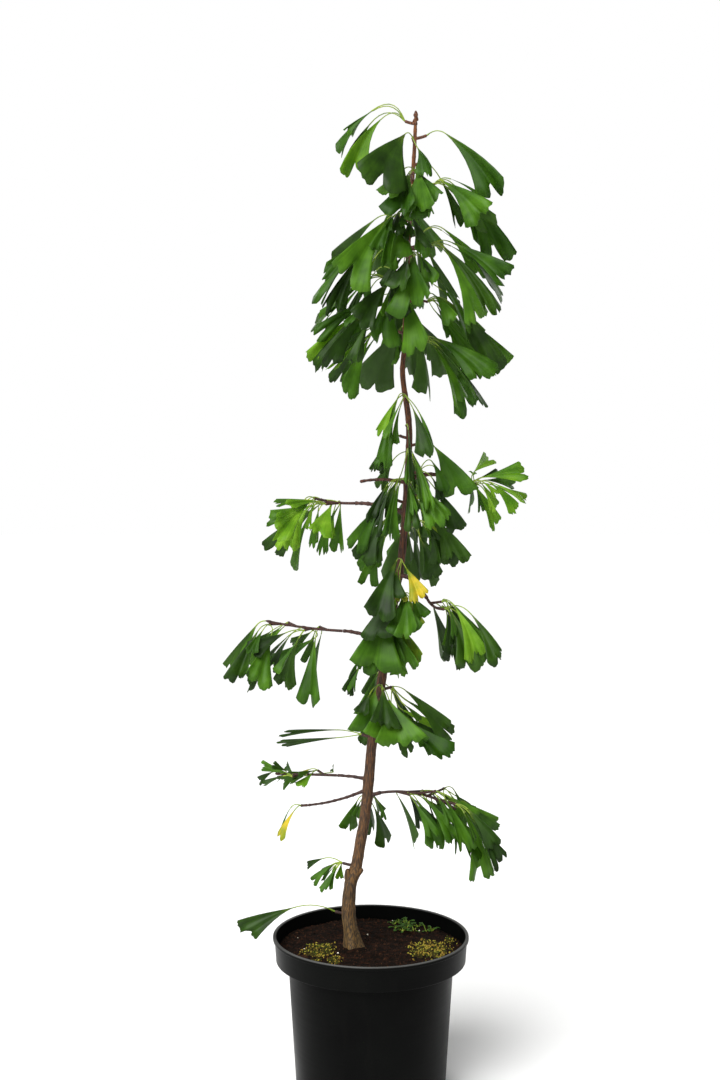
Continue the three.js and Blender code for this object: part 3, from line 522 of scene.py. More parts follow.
def blade_point(leaf, t, across, lift=0.0, crease=0.0):
    """Points of a blade: t along its midrib, across in half widths. crease rounds its fold."""
    t, across = np.broadcast_arrays(np.asarray(t, float), np.asarray(across, float))
    direction = bent_direction(*leaf["blade"], t)
    square = np.cross(leaf["level"], direction)
    sideways = square * math.sin(leaf["roll"]) + leaf["level"] * math.cos(leaf["roll"])
    upwards = np.cross(sideways, direction)
    distance = across * leaf["width"] / 2
    raised = np.sqrt(distance**2 + crease**2) - crease
    height = raised * math.sin(leaf["fold"]) + lift
    distance = distance * math.cos(leaf["fold"])
    return (bent_point(*leaf["blade"], t) + sideways * distance[..., None]
            + upwards * height[..., None])


def round_trip(points):
    """Each point with the next one, and the last with the first."""
    return zip(points, [*points[1:], points[0]])


def leaf_sheet(leaf):
    """A leaf's outline, and the plain faces and edges that tell whether two leaves cross."""
    right, left = leaf["right"], leaf["left"]
    lengths = [SHOULDER * right, right, 1 - leaf["notch"], left, SHOULDER * left]
    margin = blade_point(leaf, lengths, [1, LOBE_TIP, NOTCH, -LOBE_TIP, -1])
    base, middle = leaf["blade"][0], blade_point(leaf, 0.5, 0)
    shoulder, tip, notch, other_tip, other_shoulder = margin
    faces = [(a, b, middle) for a, b in round_trip([base, shoulder, notch, other_shoulder])]
    faces += [(shoulder, tip, notch), (notch, other_tip, other_shoulder)]
    edges = [*round_trip([base, *margin])]
    edges += [(bent_point(*leaf["stalk"], 0.5), base), (base, middle), (middle, notch)]
    return margin, np.array(faces), np.array(edges)


def pierces(edges, faces):
    """Whether any edge of one leaf goes through any face of the other."""
    start, way = edges[:, None, 0], (edges[:, 1] - edges[:, 0])[:, None]
    corner, one, other = faces[None, :, 0], *(faces[None, :, i] - faces[None, :, 0] for i in (1, 2))
    normal = np.cross(one, other)
    slope = (way * normal).sum(-1)
    sign, size = np.sign(slope), np.abs(slope)
    gap = start - corner
    first = sign * (way * np.cross(gap, other)).sum(-1)
    second = sign * (way * np.cross(one, gap)).sum(-1)
    along = -sign * (gap * normal).sum(-1)
    hit = (first >= 0) & (second >= 0) & (first + second <= size) & (along >= 0) & (along < size)
    return bool(np.any(hit & (size > 0)))


def leaf_fits(spray, leaf, sheet, others):
    """Whether a leaf stays in its spray's space and crosses no other leaf."""
    points = np.vstack([sheet[0], leaf["blade"][0], leaf["blade"][2]])
    top = bent_point(*leaf["stalk"], 0.5)[2]
    if not (inside_space(spray, points) and spray["low"] < top < spray["high"]):
        return False
    return not any(pierces(sheet[2], other[1]) or pierces(other[2], sheet[1]) for other in others)


print("turn of the left sprays:", middle_turn(SPRAYS[0]))

# %% Grow every spray
FIRST_SEED = 20
TRIES = 14
SHRINK = 0.95  # from one try to the next
OUTERMOST = 0.95  # where along its twig the first leaf sits
FINE_LEAVES = 0.8  # small leaves that the plain masses leave out, for each leaf of the rule
FINE_IN_FRONT = 1.8  # and in the sprays that hide the stem
SPARSE = ("left_7", "left_low", "left_basal", "left_6")  # sprays without small leaves
FINE_SIZES = (0.45, 0.85)
FINE_PLACES = (0.4, 1.0)


def grow_spray(spray, order):
    """A spray's twigs and leaves, and then its small leaves, within the same space."""
    random = seeded_random(FIRST_SEED + order)
    twigs = twig_lines(spray, stem_line(spray), random)
    ruled, on_each = spray["leaves"], math.ceil(spray["leaves"] / len(twigs))
    fine = FINE_IN_FRONT if spray["name"].startswith("front") else FINE_LEAVES
    small = 0 if spray["name"] in SPARSE else round(ruled * fine)
    leaves, sheets = [], []
    for index in range(ruled + small):
        twig = index % len(twigs)
        if index < ruled:
            place = index // len(twigs) / (on_each - 1) if on_each > 1 else 0
            share, size = between(OUTERMOST, spray["roots"], place), 1
        else:
            share, size = random(*FINE_PLACES), random(*FINE_SIZES)
        for attempt in range(TRIES):
            root = bent_point(*twigs[twig], share)
            leaf = draw_leaf(spray, index, root, size * SHRINK**attempt, random)
            sheet = leaf_sheet(leaf)
            if leaf_fits(spray, leaf, sheet, sheets):
                leaves.append(dict(leaf, twig=twig, share=share))
                sheets.append(sheet)
                break
    return dict(spray=spray, twigs=twigs, leaves=leaves)


grown = [grow_spray(spray, order) for order, spray in enumerate(SPRAYS)]
print("leaves grown, large and small:", sum(len(one["leaves"]) for one in grown))

# %% [markdown]
# ## Meshes from numbers, and limbs from rings
# Bark and pots are round bodies, so each is a stack of rings of points. One function skins such a
# stack and closes its ends. Another turns any list of points and faces into a finished piece: its
# points are already where they belong, so the object itself stays at the origin.

# %% Helpers for meshes
def make_piece(name, points, faces, material, slot):
    """A mesh piece from points in millimetres, finished and riding on the plant."""
    mesh = bpy.data.meshes.new(name)
    mesh.from_pydata((np.asarray(points) * MM).tolist(), [], faces)
    mesh.polygons.foreach_set("use_smooth", [True] * len(mesh.polygons))
    return finish_piece(add_object(name, mesh), material)


def finish_piece(piece, material):
    piece.data.materials.clear()
    piece.data.materials.append(material)
    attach(piece, "root")
    print(piece.name, "has", sum(len(p.vertices) - 2 for p in piece.data.polygons), "triangles")
    return piece


def add_values(mesh, name, values):
    """A number for each point of a mesh, kept under a name that materials and trees can read."""
    mesh.attributes.new(name, "FLOAT", "POINT").data.foreach_set("value", np.asarray(values, float))


def skin(rings):
    """Points and faces of a closed body over rings of points, all with the same number of sides."""
    count, sides = rings.shape[:2]
    points = list(rings.reshape(-1, 3))
    faces = []
    for ring in range(count - 1):
        for side in range(sides):
            here, following = ring * sides + side, ring * sides + (side + 1) % sides
            faces.append((here, following, following + sides, here + sides))
    for ring, step in ((0, -1), (count - 1, 1)):
        for side in range(sides):
            pair = (ring * sides + side, ring * sides + (side + 1) % sides)
            faces.append((*pair[::step], len(points)))
        points.append(rings[ring].mean(axis=0))
    return points, faces


def join_bodies(bodies):
    """Several bodies, each points and faces, as one list of points and one of faces."""
    points, faces = [], []
    for body_points, body_faces in bodies:
        first = len(points)
        points += list(body_points)
        faces += [tuple(first + corner for corner in face) for face in body_faces]
    return points, faces


def rounded(outline, radius, steps):
    """An outline whose inner corners are each cut by a small arc of the given radius, or by a
    smaller one where an edge is too short."""
    outline = np.array(outline, float)
    smooth = [outline[0]]
    for before, corner, after in zip(outline, outline[1:], outline[2:]):
        ends = []
        for end in (before, after):
            distance = np.linalg.norm(end - corner)
            ends.append(corner + (end - corner) / distance * min(radius, distance / 2.2))
        smooth += list(bent_point(ends[0], corner, ends[1], np.linspace(0, 1, steps + 1)))
    return np.array(smooth + [outline[-1]])


def around(sides):
    return np.arange(sides) * 2 * math.pi / sides


def ring_points(radius, angles, height):
    rounds = [radius * np.cos(angles), radius * np.sin(angles), height + 0 * angles]
    return np.stack(rounds, axis=-1)


def lathe(outline, sides, wobble=None):
    """A closed round body from its outline of radius and height, from the axis back to the axis."""
    rings = ring_points(outline[1:-1, :1], around(sides), outline[1:-1, 1:])
    if wobble is not None:
        rings = wobble(rings)
    points, faces = skin(rings)
    points[-2], points[-1] = ([0, 0, outline[0, 1]], [0, 0, rings[-1, :, 2].mean()])
    return points, faces


def ripples(seed, count, turns, lengths):
    """A smooth random relief over turn (radians) and height (mm), from -1 to 1, as summed waves."""
    dice = np.random.default_rng(seed)
    waves = []
    for _ in range(count):
        waves.append((int(dice.integers(*turns)), dice.uniform(*lengths), dice.uniform(0, 6.28)))

    def relief(turn, height):
        parts = (np.sin(k * turn + height * 2 * math.pi / long + phase) for k, long, phase in waves)
        return sum(parts) / count**0.5

    return relief


print("a cut corner has", len(rounded([(0, 0), (1, 0), (1, 1)], 0.2, 4)) - 2, "points")

# %% [markdown]
# ## Bark
# A young stem is thin-barked. At its foot the bark is grey-brown and splits in shallow upright
# furrows, higher up it is smooth and purplish brown, and the newest growth is thin, orange-brown
# and a little glossy. Pale lenticels lie across it. The furrows and swellings are in the mesh, and
# the finest grain is a bump. The colour follows height, so it is read from Object coordinates.

# %% Bark materials
WANDER = 0.06  # how far the colour zones wander up and down, in metres


def young_bark(add, place, heights, grain_shades, roughness):
    """Young bark. heights are (z in mm, hex colour), and grain_shades darken and lighten them."""
    height = add("ShaderNodeSeparateXYZ", {"Vector": place}).outputs["Z"]
    drift = add("ShaderNodeTexNoise", {"Vector": place, "Scale": 22.0})
    wander = add("ShaderNodeMath", {0: drift, 1: 2 * WANDER, 2: height}, operation="MULTIPLY_ADD")
    low, high = heights[0][0] * MM, heights[-1][0] * MM
    share = add("ShaderNodeMapRange", {0: wander, 1: low + WANDER, 2: high + WANDER})
    zones = [((z * MM - low) / (high - low), colour) for z, colour in heights]
    zone = add("ShaderNodeValToRGB", {"Fac": share}, zones)
    # Upright fibres 1.2 mm apart, stretched ten times along the stem.
    stretched = add("ShaderNodeMapping", {"Vector": place, "Scale": (820, 820, 80)})
    fibre = add("ShaderNodeTexNoise", {"Vector": stretched, "Scale": 1.0, "Detail": 4.0})
    shades = zip((0.38, 0.5, 0.64), (grain_shades[0], "#808080", grain_shades[1]))
    shade = add("ShaderNodeValToRGB", {"Fac": fibre}, list(shades))
    grained = add("ShaderNodeMix", {"Factor": 0.9, "A": zone, "B": shade}, data_type="RGBA",
                  blend_type="OVERLAY")
    # Lenticels: pale dashes 3 mm wide and under 1 mm high, some 8 mm apart.
    squat = add("ShaderNodeMapping", {"Vector": place, "Scale": (120, 120, 330)})
    pores = add("ShaderNodeTexVoronoi", {"Vector": squat, "Scale": 1.0})
    dash = add("ShaderNodeValToRGB", {"Fac": pores}, [(0.05, "#707070"), (0.16, "#000000")])
    spotted = add("ShaderNodeMix", {"Factor": dash, "A": grained, "B": linear("#b09a80")},
                  data_type="RGBA")
    gloss = add("ShaderNodeMapRange", {0: fibre, 3: roughness[0], 4: roughness[1]})
    bump = add("ShaderNodeBump", {"Height": fibre, "Strength": 0.7, "Distance": 0.0008})
    return add("ShaderNodeBsdfPrincipled", {
        "Base Color": spotted, "Roughness": gloss, "IOR": 1.45, "Normal": bump})


# Thin young bark: matt and dusty at the foot, satin above.
STEM_ZONES = [(209, "#6f5934"), (330, "#664a2c"), (520, "#5c3d28"), (900, "#563322"),
              (1150, "#744522"), (1395, "#845026")]
stem_bark = make_material("young_stem_bark", young_bark, STEM_ZONES, ("#2c2820", "#cabd9c"),
                          (0.62, 0.92))
# Bark of side shoots: purplish brown with a slight shine.
SHOOT_ZONES = [(300, "#4d332c"), (800, "#583228"), (1400, "#7d4c2e")]
shoot_bark = make_material("side_shoot_bark", young_bark, SHOOT_ZONES, ("#40383a", "#b0a8a0"),
                           (0.48, 0.78))
print("bark materials:", stem_bark.name, shoot_bark.name)

# %% Rings up the stem
STEM_SIDES = 40
STEM_STEP = 2.5
FLARE, FLARE_HEIGHT, FLARE_RIBS = 0.16, 30, 4
STEM_SUNK = 4  # how far the stem reaches down into the compost
FURROW_DEPTH, FURROW_EDGE, KNOB_HEIGHT = 0.55, 0.2, 0.035
BARK_AGE = ((0, 260, 700), (1, 0.45, 0.12))  # heights, and how deep the furrows are there
COLLAR, COLLAR_HALF = 1.1, 7  # the swelling at a bough's foot
YEAR, LEAF_SCAR, SCAR_HALF = 37, 0.35, 2.2  # ring scars where growth stopped and leaves dropped

furrows = ripples(seed=3, count=9, turns=(3, 10), lengths=(60, 260))
knobs = ripples(seed=4, count=5, turns=(1, 3), lengths=(24, 70))


def stem_rings():
    angles = around(STEM_SIDES)
    rings = []
    for height in np.arange(-STEM_SUNK, TRUNK_LINE[-1, 0] + 0.1, STEM_STEP):
        radius = trunk_diameter(height) / 2
        flare = FLARE * max(0, 1 - max(height, 0) / FLARE_HEIGHT)
        out = radius * (1 + flare * np.cos(FLARE_RIBS * angles + 1))
        deep = np.minimum(0, furrows(angles, height) + FURROW_EDGE)
        raised = KNOB_HEIGHT * radius * knobs(angles, height)
        out = out + FURROW_DEPTH * np.interp(height, *BARK_AGE) * deep + raised
        for bough in BOUGHS:
            rise = (COMPOST_TOP + height - bough["foot"]) / COLLAR_HALF
            facing = np.cos(angles - math.radians(bough["turn"]))
            out = out + COLLAR * math.exp(-rise * rise) * np.clip(facing, 0, 1) ** 2
        out = out + LEAF_SCAR * math.exp(-(((height % YEAR) - YEAR // 2) / SCAR_HALF) ** 2)
        x, y, _ = trunk_middle(COMPOST_TOP + max(height, 0.2))
        rings.append(ring_points(out, angles, COMPOST_TOP + height) + (x, y, 0))
    return np.array(rings)


print("rings up the stem:", len(stem_rings()))

# %% [markdown]
# A bough is a bent line with a radius at each place. Its ring scars are short swellings, and so
# are the knob and the cut stub that the graft has left on the stem.

# %% Stem with its graft, and boughs
BOUGH_SIDES = 18
BOUGH_STEP = 1.6
UNEVEN = 0.07  # of a limb's radius
BLUNT_TIP = (0.88, 0.55)
# Ring scars of a bough, from and to which share of it, and how far apart.
SCARS_FROM, SCARS_TO, SCAR_SPACING, SCAR_SWELL = 0.25, 0.95, 9, (0.25, 0.6)
# Swellings as (share, how much thicker, half length in mm).
BOUGH_FOOT, BOUGH_TIP = (0.08, 0.7, 6), (0.985, 0.9, 3)
BOUGH_SEED = 60


def swollen(sizes, shares, length, swells):
    """Sizes along a line of some length, with its swellings."""
    for place, extra, half in swells:
        sizes = sizes + extra * np.exp(-(((shares - place) * length / half) ** 2))
    return sizes


def limb_rings(line, foot_radius, tip_radius, swells, seed):
    """Rings along a bent line, from its foot to its blunt tip."""
    length = line_length(line)
    share = np.linspace(0, 1, max(6, int(length / BOUGH_STEP)))
    centre, direction = bent_point(*line, share), bent_direction(*line, share)
    heading = line[1] - line[0]
    level = np.array([-heading[1], heading[0], 0.0])
    level /= np.linalg.norm(level)
    side = level - direction * (direction @ level)[:, None]
    side /= np.linalg.norm(side, axis=1, keepdims=True)
    other = np.cross(direction, side)
    radius = swollen(between(foot_radius, tip_radius, share), share, length, swells)
    radius[-2:] *= BLUNT_TIP
    angles = around(BOUGH_SIDES)
    relief = ripples(seed, count=5, turns=(1, 4), lengths=(9, 40))
    out = radius[:, None] * (1 + UNEVEN * relief(angles[None], share[:, None] * length))
    return (centre[:, None] + side[:, None] * (out * np.cos(angles))[..., None]
            + other[:, None] * (out * np.sin(angles))[..., None])


# The graft is a short slanting cut stub on the right of the stem, above a swollen knob on its left.
# Each is three places from the stem's middle there, two radii, one swelling and a seed.
GRAFT_HEIGHT = 101
GRAFT_PARTS = [
    (((0, 0, 0), (9, -3, 5), (13, -4, 13)), (4.6, 3.4), (0.9, 0.6, 3), 31),
    (((-2, 0, -14), (-9, -2, -2), (-7, -3, 12)), (4.8, 4.0), (0.5, 1.0, 7), 32),
]
graft = trunk_middle(COMPOST_TOP + GRAFT_HEIGHT)
stem_bodies = [skin(stem_rings())]
for places, radii, swell, seed in GRAFT_PARTS:
    stem_bodies.append(skin(limb_rings(graft + np.array(places), *radii, [swell], seed)))
stem = make_piece("stem_bark", *join_bodies(stem_bodies), stem_bark, "bark")
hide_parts("trunk")


def bough_body(order, bough):
    """A bough with the ring scars of its short shoots, thickest at its tip."""
    dice = np.random.default_rng(BOUGH_SEED + order)
    places = np.arange(SCARS_FROM, SCARS_TO, SCAR_SPACING / bough["reach"])
    scars = [(place, dice.uniform(*SCAR_SWELL), 1.8) for place in places]
    swells = [BOUGH_FOOT, *scars, BOUGH_TIP]
    return skin(limb_rings(bough_line(bough), bough["thick"] / 2, bough["thin"] / 2, swells, order))


bough_bodies = [bough_body(*row) for row in enumerate(BOUGHS)]
boughs = make_piece("bough_bark", *join_bodies(bough_bodies), shoot_bark, "bark")
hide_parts(*(bough["name"] for bough in BOUGHS))

# %% [markdown]
# ## Spurs, side twigs and leaf stalks
# Ginkgo leaves sit in tufts on stubby spurs, each on a thin stalk. All of these are threads along
# bent paths, so one Geometry Nodes tree makes them: the paths come in as edges with a thickness at
# every point, and each is given a round skin. The two kinds differ only in their sizes and
# material.

# %% Helpers for Geometry Nodes, and the tree for threads
def new_tree(name, sockets):
    """An empty tree with named inputs, the function that adds a node to it, and its inputs."""
    tree = bpy.data.node_groups.new(name, "GeometryNodeTree")
    for socket, kind in sockets.items():
        tree.interface.new_socket(socket, in_out="INPUT", socket_type="NodeSocket" + kind)
    tree.interface.new_socket("Result", in_out="OUTPUT", socket_type="NodeSocketGeometry")
    add = functools.partial(add_node, tree)
    return tree, add, add("NodeGroupInput").outputs


def end_tree(add, geometry, material):
    """Real geometry in its material, as what the tree gives."""
    plain = add("GeometryNodeRealizeInstances", {"Geometry": geometry})
    finished = add("GeometryNodeSetMaterial", {"Geometry": plain, "Material": material})
    add("NodeGroupOutput", {0: finished})


def run_tree(name, mesh, tree, material, slot, **settings):
    """The plain mesh that a tree makes of a mesh, as a finished piece of the given name."""
    settings["Finish"] = material
    carrier = add_object(name + "_source", mesh)
    modifier = carrier.modifiers.new("grow", "NODES")
    modifier.node_group = tree
    for item in tree.interface.items_tree:
        if item.name in settings:
            modifier[item.identifier] = settings[item.name]
    evaluated = carrier.evaluated_get(bpy.context.evaluated_depsgraph_get())
    result = bpy.data.meshes.new_from_object(evaluated)
    carrier.modifiers.remove(modifier)
    bpy.data.objects.remove(carrier)
    return finish_piece(add_object(name, result), material)


def thread_tree():
    """Mesh edges with a thickness attribute become closed round threads."""
    tree, add, given = new_tree("threads", {
        "Paths": "Geometry", "Sides": "Int", "Finish": "Material"})
    path = add("GeometryNodeMeshToCurve", {"Mesh": given["Paths"]})
    profile = add("GeometryNodeCurvePrimitiveCircle", {"Resolution": given["Sides"], "Radius": 1.0})
    thickness = add("GeometryNodeInputNamedAttribute", {"Name": "thickness"}, data_type="FLOAT")
    skinned = add("GeometryNodeCurveToMesh", {
        "Curve": path, "Profile Curve": profile, "Scale": thickness, "Fill Caps": True})
    end_tree(add, add("GeometryNodeSetShadeSmooth", {"Geometry": skinned}), given["Finish"])
    return tree


def path_mesh(name, paths):
    """Edges along paths, each given as points and thicknesses in millimetres."""
    mesh = bpy.data.meshes.new(name)
    edges, first = [], 0
    for path, _ in paths:
        edges += [(first + i, first + i + 1) for i in range(len(path) - 1)]
        first += len(path)
    mesh.from_pydata((np.vstack([path for path, _ in paths]) * MM).tolist(), edges, [])
    add_values(mesh, "thickness", np.concatenate([sizes for _, sizes in paths]) * MM)
    return mesh


threads = thread_tree()
print("inputs:", [item.name for item in threads.interface.items_tree])

# %% Paths of spurs and twigs, and the leaves' stalks that start on them
SPUR_SPACING, SPUR_POINTS, SPUR_RADII = 30, 9, (2.3, 2.0)
ROOT_DROP = 4  # how much lower a spur or twig starts in the middle of the trunk
SHOOT_STEP, SHOOT_RADII = 2.2, (2.1, 1.6)
TUFTED_SHARE, TUFTS_FROM, TUFTS_TO = 0.6, 0.5, 0.95
TUFT_SPACING, TUFT_SWELL, TUFT_HALF = 24, 0.7, 2.2
SPUR_KNEE, SPUR_SAG, POINTED = 0.6, 1.5, 0.4
STALK_POINTS, STALK_RADIUS = 8, 0.72
STALK_FOOT, STALK_HEAD = (0.9, 12), (0.25, 6)  # how much thicker, and how soon that ends


def knobbly(shares, length, radii, tufts):
    swells = [(place, TUFT_SWELL, TUFT_HALF) for place in tufts]
    sizes = swollen(between(*radii, shares), shares, length, swells)
    sizes[-1] *= POINTED
    return sizes


def tuft_places(line, spacing):
    count = max(1, round(line_length(line) * TUFTED_SHARE / spacing))
    return np.linspace(TUFTS_FROM, TUFTS_TO, count) if count > 1 else np.array([TUFTS_TO])


def spur_path(tip):
    """A spur from the middle of the trunk out to the tuft at its tip."""
    root = trunk_middle(tip[2] - ROOT_DROP)
    shares = np.linspace(0, 1, SPUR_POINTS)
    path = bent_point(root, between(root, tip, SPUR_KNEE) - (0, 0, SPUR_SAG), tip, shares)
    return path, knobbly(shares, np.linalg.norm(tip - root), SPUR_RADII, [1.0])


def twig_path(line, places, from_trunk):
    start = trunk_middle(line[0][2] - ROOT_DROP)[None] if from_trunk else np.empty((0, 3))
    shares = np.linspace(0, 1, max(SPUR_POINTS, int(line_length(line) / SHOOT_STEP)))
    sizes = knobbly(shares, line_length(line), SHOOT_RADII, places)
    path = np.vstack([start, bent_point(*line, shares)])
    return path, np.concatenate([[SHOOT_RADII[0]] * len(start), sizes])


def woody_paths(one):
    """Spurs and twigs of a spray as paths, and the shares of each twig at which its tufts sit."""
    from_trunk = on_trunk(one["spray"])
    paths, tufts = [], []
    for index, line in enumerate(one["twigs"]):
        spurred = from_trunk and index == 0
        places = tuft_places(line, SPUR_SPACING if spurred else TUFT_SPACING)
        tufts.append(places)
        if spurred:
            shares = [leaf["share"] for leaf in one["leaves"] if leaf["twig"] == index]
            used = sorted({int(np.argmin(abs(places - share))) for share in shares})
            paths += [spur_path(bent_point(*line, place)) for place in places[used]]
        else:
            paths.append(twig_path(line, places, from_trunk))
    return paths, tufts


def stalk_path(leaf, line, places):
    """A leaf's stalk, from the nearest tuft of its twig to the foot of its blade."""
    place = places[np.argmin(abs(places - leaf["share"]))]
    shares = np.linspace(0, 1, STALK_POINTS)
    foot = STALK_FOOT[0] * np.exp(-shares * STALK_FOOT[1])
    head = STALK_HEAD[0] * np.exp(-((1 - shares) * STALK_HEAD[1]))
    sizes = STALK_RADIUS * (1 + foot + head)
    return bent_point(bent_point(*line, place), *leaf["stalk"][1:], shares), sizes


wood, stalks = [], []
for one in grown:
    paths, tufts = woody_paths(one)
    wood += paths
    for leaf in one["leaves"]:
        stalks.append(stalk_path(leaf, one["twigs"][leaf["twig"]], tufts[leaf["twig"]]))
print(len(wood), "spurs and twigs,", len(stalks), "stalks")

# %% Stalk material and the two pieces
def juicy_stalk(add, place):
    """Fresh leaf stalk: smooth, juicy yellow-green, duller in places."""
    drift = add("ShaderNodeTexNoise", {"Vector": place, "Scale": 60.0, "Detail": 3.0})
    greens = [(0.3, "#5a7420"), (0.5, "#7d962c"), (0.72, "#a0b040")]
    shade = add("ShaderNodeValToRGB", {"Fac": drift}, greens)
    bump = add("ShaderNodeBump", {"Height": drift, "Strength": 0.15, "Distance": 0.0005})
    return add("ShaderNodeBsdfPrincipled", {
        "Base Color": shade, "Roughness": 0.42, "IOR": 1.42, "Normal": bump})


green_stalk = make_material("fresh_leaf_stalk", juicy_stalk)
ALL_SPRAYS = [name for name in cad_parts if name.startswith("foliage_")]

twigs = run_tree("twigs_and_spurs", path_mesh("wood_paths", wood), threads, shoot_bark, "bark",
                 Sides=9)
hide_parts(*ALL_SPRAYS)
leaf_stalks = run_tree("leaf_stalks", path_mesh("stalk_paths", stalks), threads, green_stalk,
                       "foliage", Sides=6)
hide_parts(*ALL_SPRAYS)

# %% [markdown]
# ## Leaves
# A ginkgo blade is a long wedge that widens into a fan. Its veins fork from the stalk outwards,
# and its end is cut into a few blunt lobes round one deeper cleft. Here each blade is a small grid
# of points whose columns run out from the stalk like the veins, so a UV map gives the vein pattern
# for free. It is closed as a thin shell, gently folded and rippled. Every leaf differs, so they
# are computed rather than copied, and leaves of one colour are joined in one piece.

# %% Leaf materials
def satin_blade(add, place, shades, margin, edge_share, glow):
    """A satin blade. shades run from dark to light, margin is the colour of its outer edge."""
    blade = add("ShaderNodeUVMap", uv_map="blade")
    tone = add("ShaderNodeAttribute", attribute_name="tone").outputs["Fac"]
    under = add("ShaderNodeAttribute", attribute_name="under").outputs["Fac"]
    away = add("ShaderNodeMath", {0: tone, 1: 31.0}, operation="MULTIPLY")
    # Veins: real ones lie 1 mm apart, drawn here some 2 mm apart so that they show.
    vein_place = add("ShaderNodeMapping", {"Vector": blade, "Scale": (26, 1.6, 1)})
    veins = add("ShaderNodeTexNoise", {
        "Vector": vein_place, "W": away, "Scale": 1.0, "Detail": 2.0}, noise_dimensions="4D")
    mottle = add("ShaderNodeTexNoise", {"Vector": place, "Scale": 34.0, "Detail": 3.0})
    mixed = add("ShaderNodeMath", {0: veins, 1: 0.45, 2: mottle}, operation="MULTIPLY_ADD")
    toned = add("ShaderNodeMath", {0: tone, 1: 0.34, 2: mixed}, operation="MULTIPLY_ADD")
    share = add("ShaderNodeMapRange", {0: toned, 1: 0.55, 2: 1.25})
    colour = add("ShaderNodeValToRGB", {"Fac": share}, list(zip((0.1, 0.5, 0.9), shades)))
    along = add("ShaderNodeSeparateXYZ", {"Vector": blade}).outputs["Y"]
    ragged = add("ShaderNodeMath", {0: mottle, 1: 0.35, 2: along}, operation="MULTIPLY_ADD")
    edge = add("ShaderNodeValToRGB", {"Fac": ragged}, [
        (edge_share, "#000000"), (min(1, edge_share + 0.08), "#ffffff")])
    foot = add("ShaderNodeValToRGB", {"Fac": along}, [(0.0, "#a0a0a0"), (0.22, "#000000")])
    pale = add("ShaderNodeMath", {0: under, 1: 0.2}, operation="MULTIPLY")
    # The outer edge, the foot of the blade and its underside each have a colour of their own.
    for factor, tint in ((edge, margin), (foot, "#93ad3c"), (pale, "#5e8a34")):
        colour = add("ShaderNodeMix", {"Factor": factor, "A": colour, "B": linear(tint)},
                     data_type="RGBA")
    gloss = add("ShaderNodeMapRange", {0: veins, 3: 0.4, 4: 0.6})
    bump = add("ShaderNodeBump", {"Height": veins, "Strength": 0.25, "Distance": 0.0003})
    surface = add("ShaderNodeBsdfPrincipled", {
        "Base Color": colour, "Roughness": gloss, "IOR": 1.45, "Specular IOR Level": 0.28,
        "Normal": bump})
    lit = add("ShaderNodeMix", {"Factor": 0.5, "A": colour, "B": linear("#a6d43a")},
              data_type="RGBA")
    through = add("ShaderNodeBsdfTranslucent", {"Color": lit})
    return add("ShaderNodeMixShader", {0: glow, 1: surface, 2: through})


# A blade's skin is smooth and waxy, so it is satin, and thin enough to let some light through.
# Here are its shades, the colour of its margin, from where that shows, and the share of light.
# Deep green is painted shade: darker leaves for those shaded within the crown. Fresh green is
# partly young leaves and partly painted light, brighter where light shines through.
LEAF_KINDS = {
    "deep_green": (("#142803", "#244008", "#37590f"), "#3a5a16", 1.3, 0.2),
    "mid_green": (("#274a08", "#3d6610", "#56841c"), "#5f7a22", 1.26, 0.28),
    "fresh_green": (("#4c7c14", "#74a222", "#9ac43c"), "#a6c040", 1.24, 0.42),
    "turning": (("#4a7a22", "#8a9a2a", "#dcc030"), "#a8641e", 1.06, 0.34),
}
# A kind of leaf goes by the first word of its colour.
BLADES = {}
for colour, facts in LEAF_KINDS.items():
    BLADES[colour.split("_")[0]] = make_material(f"{colour}_blade", satin_blade, *facts)
# How the four colours are dealt out in a spray, in the order above, where it isn't the usual way.
USUAL_COLOURS = (0.4, 0.54, 0.06, 0)
# Sprays at the back and some on the left get mostly deep green as painted shade, and right_upper
# gets mostly fresh green as painted light.
SPRAY_COLOURS = {
    "left_1": (0.1, 0.7, 0.2, 0), "left_2": (0.45, 0.53, 0.02, 0), "left_upper": (0.1, 0.4, 0.5, 0),
    "left_middle": (0.6, 0.38, 0.02, 0), "left_7": (0.5, 0.45, 0.05, 0),
    "left_lower": (0.5, 0.35, 0.1, 0.05), "left_low": (0.2, 0.5, 0.1, 0.2),
    "left_kink": (0.5, 0.35, 0.15, 0), "left_basal": (0.7, 0.3, 0, 0),
    "right_1": (0.3, 0.69, 0.01, 0), "right_2": (0.5, 0.5, 0, 0), "right_3": (0.35, 0.45, 0.1, 0.1),
    "right_upper": (0.05, 0.15, 0.8, 0), "right_middle": (0.36, 0.44, 0.16, 0.04),
    "right_lower": (0.35, 0.6, 0.05, 0),
    "front_1": (0.25, 0.73, 0.02, 0), "front_3": (0.26, 0.5, 0, 0.24), "front_4": (0.2, 0.8, 0, 0),
    "back_1": (0.7, 0.3, 0, 0), "back_2": (0.75, 0.25, 0, 0), "back_3": (0.75, 0.25, 0, 0),
}
print("leaf colours:", list(BLADES))

# %% One blade as a thin closed shell
BLADE_COLUMNS = 19
BLADE_ROWS = np.array([0, 0.12, 0.28, 0.46, 0.64, 0.83, 1.0])
BLADE_THICKNESS = 0.36
WEDGE_POWER = 1.3  # above 1 the blade's sides are hollow
LOBE_CLEFTS = (0, 4)
CLEFT_DEPTH, CLEFT_HALF, CLEFT_PLACE = (0.03, 0.11), 0.07, 0.85
OUTER_CUT, NOTCH_HALF, RAGGED = (0.05, 0.17), (0.1, 0.2), (-0.022, 0.01)
WAVE_HEIGHT, WAVE_COUNT, CURL = (0.008, 0.03), (3, 7), (-0.05, 0.07)
CREASE = 0.05


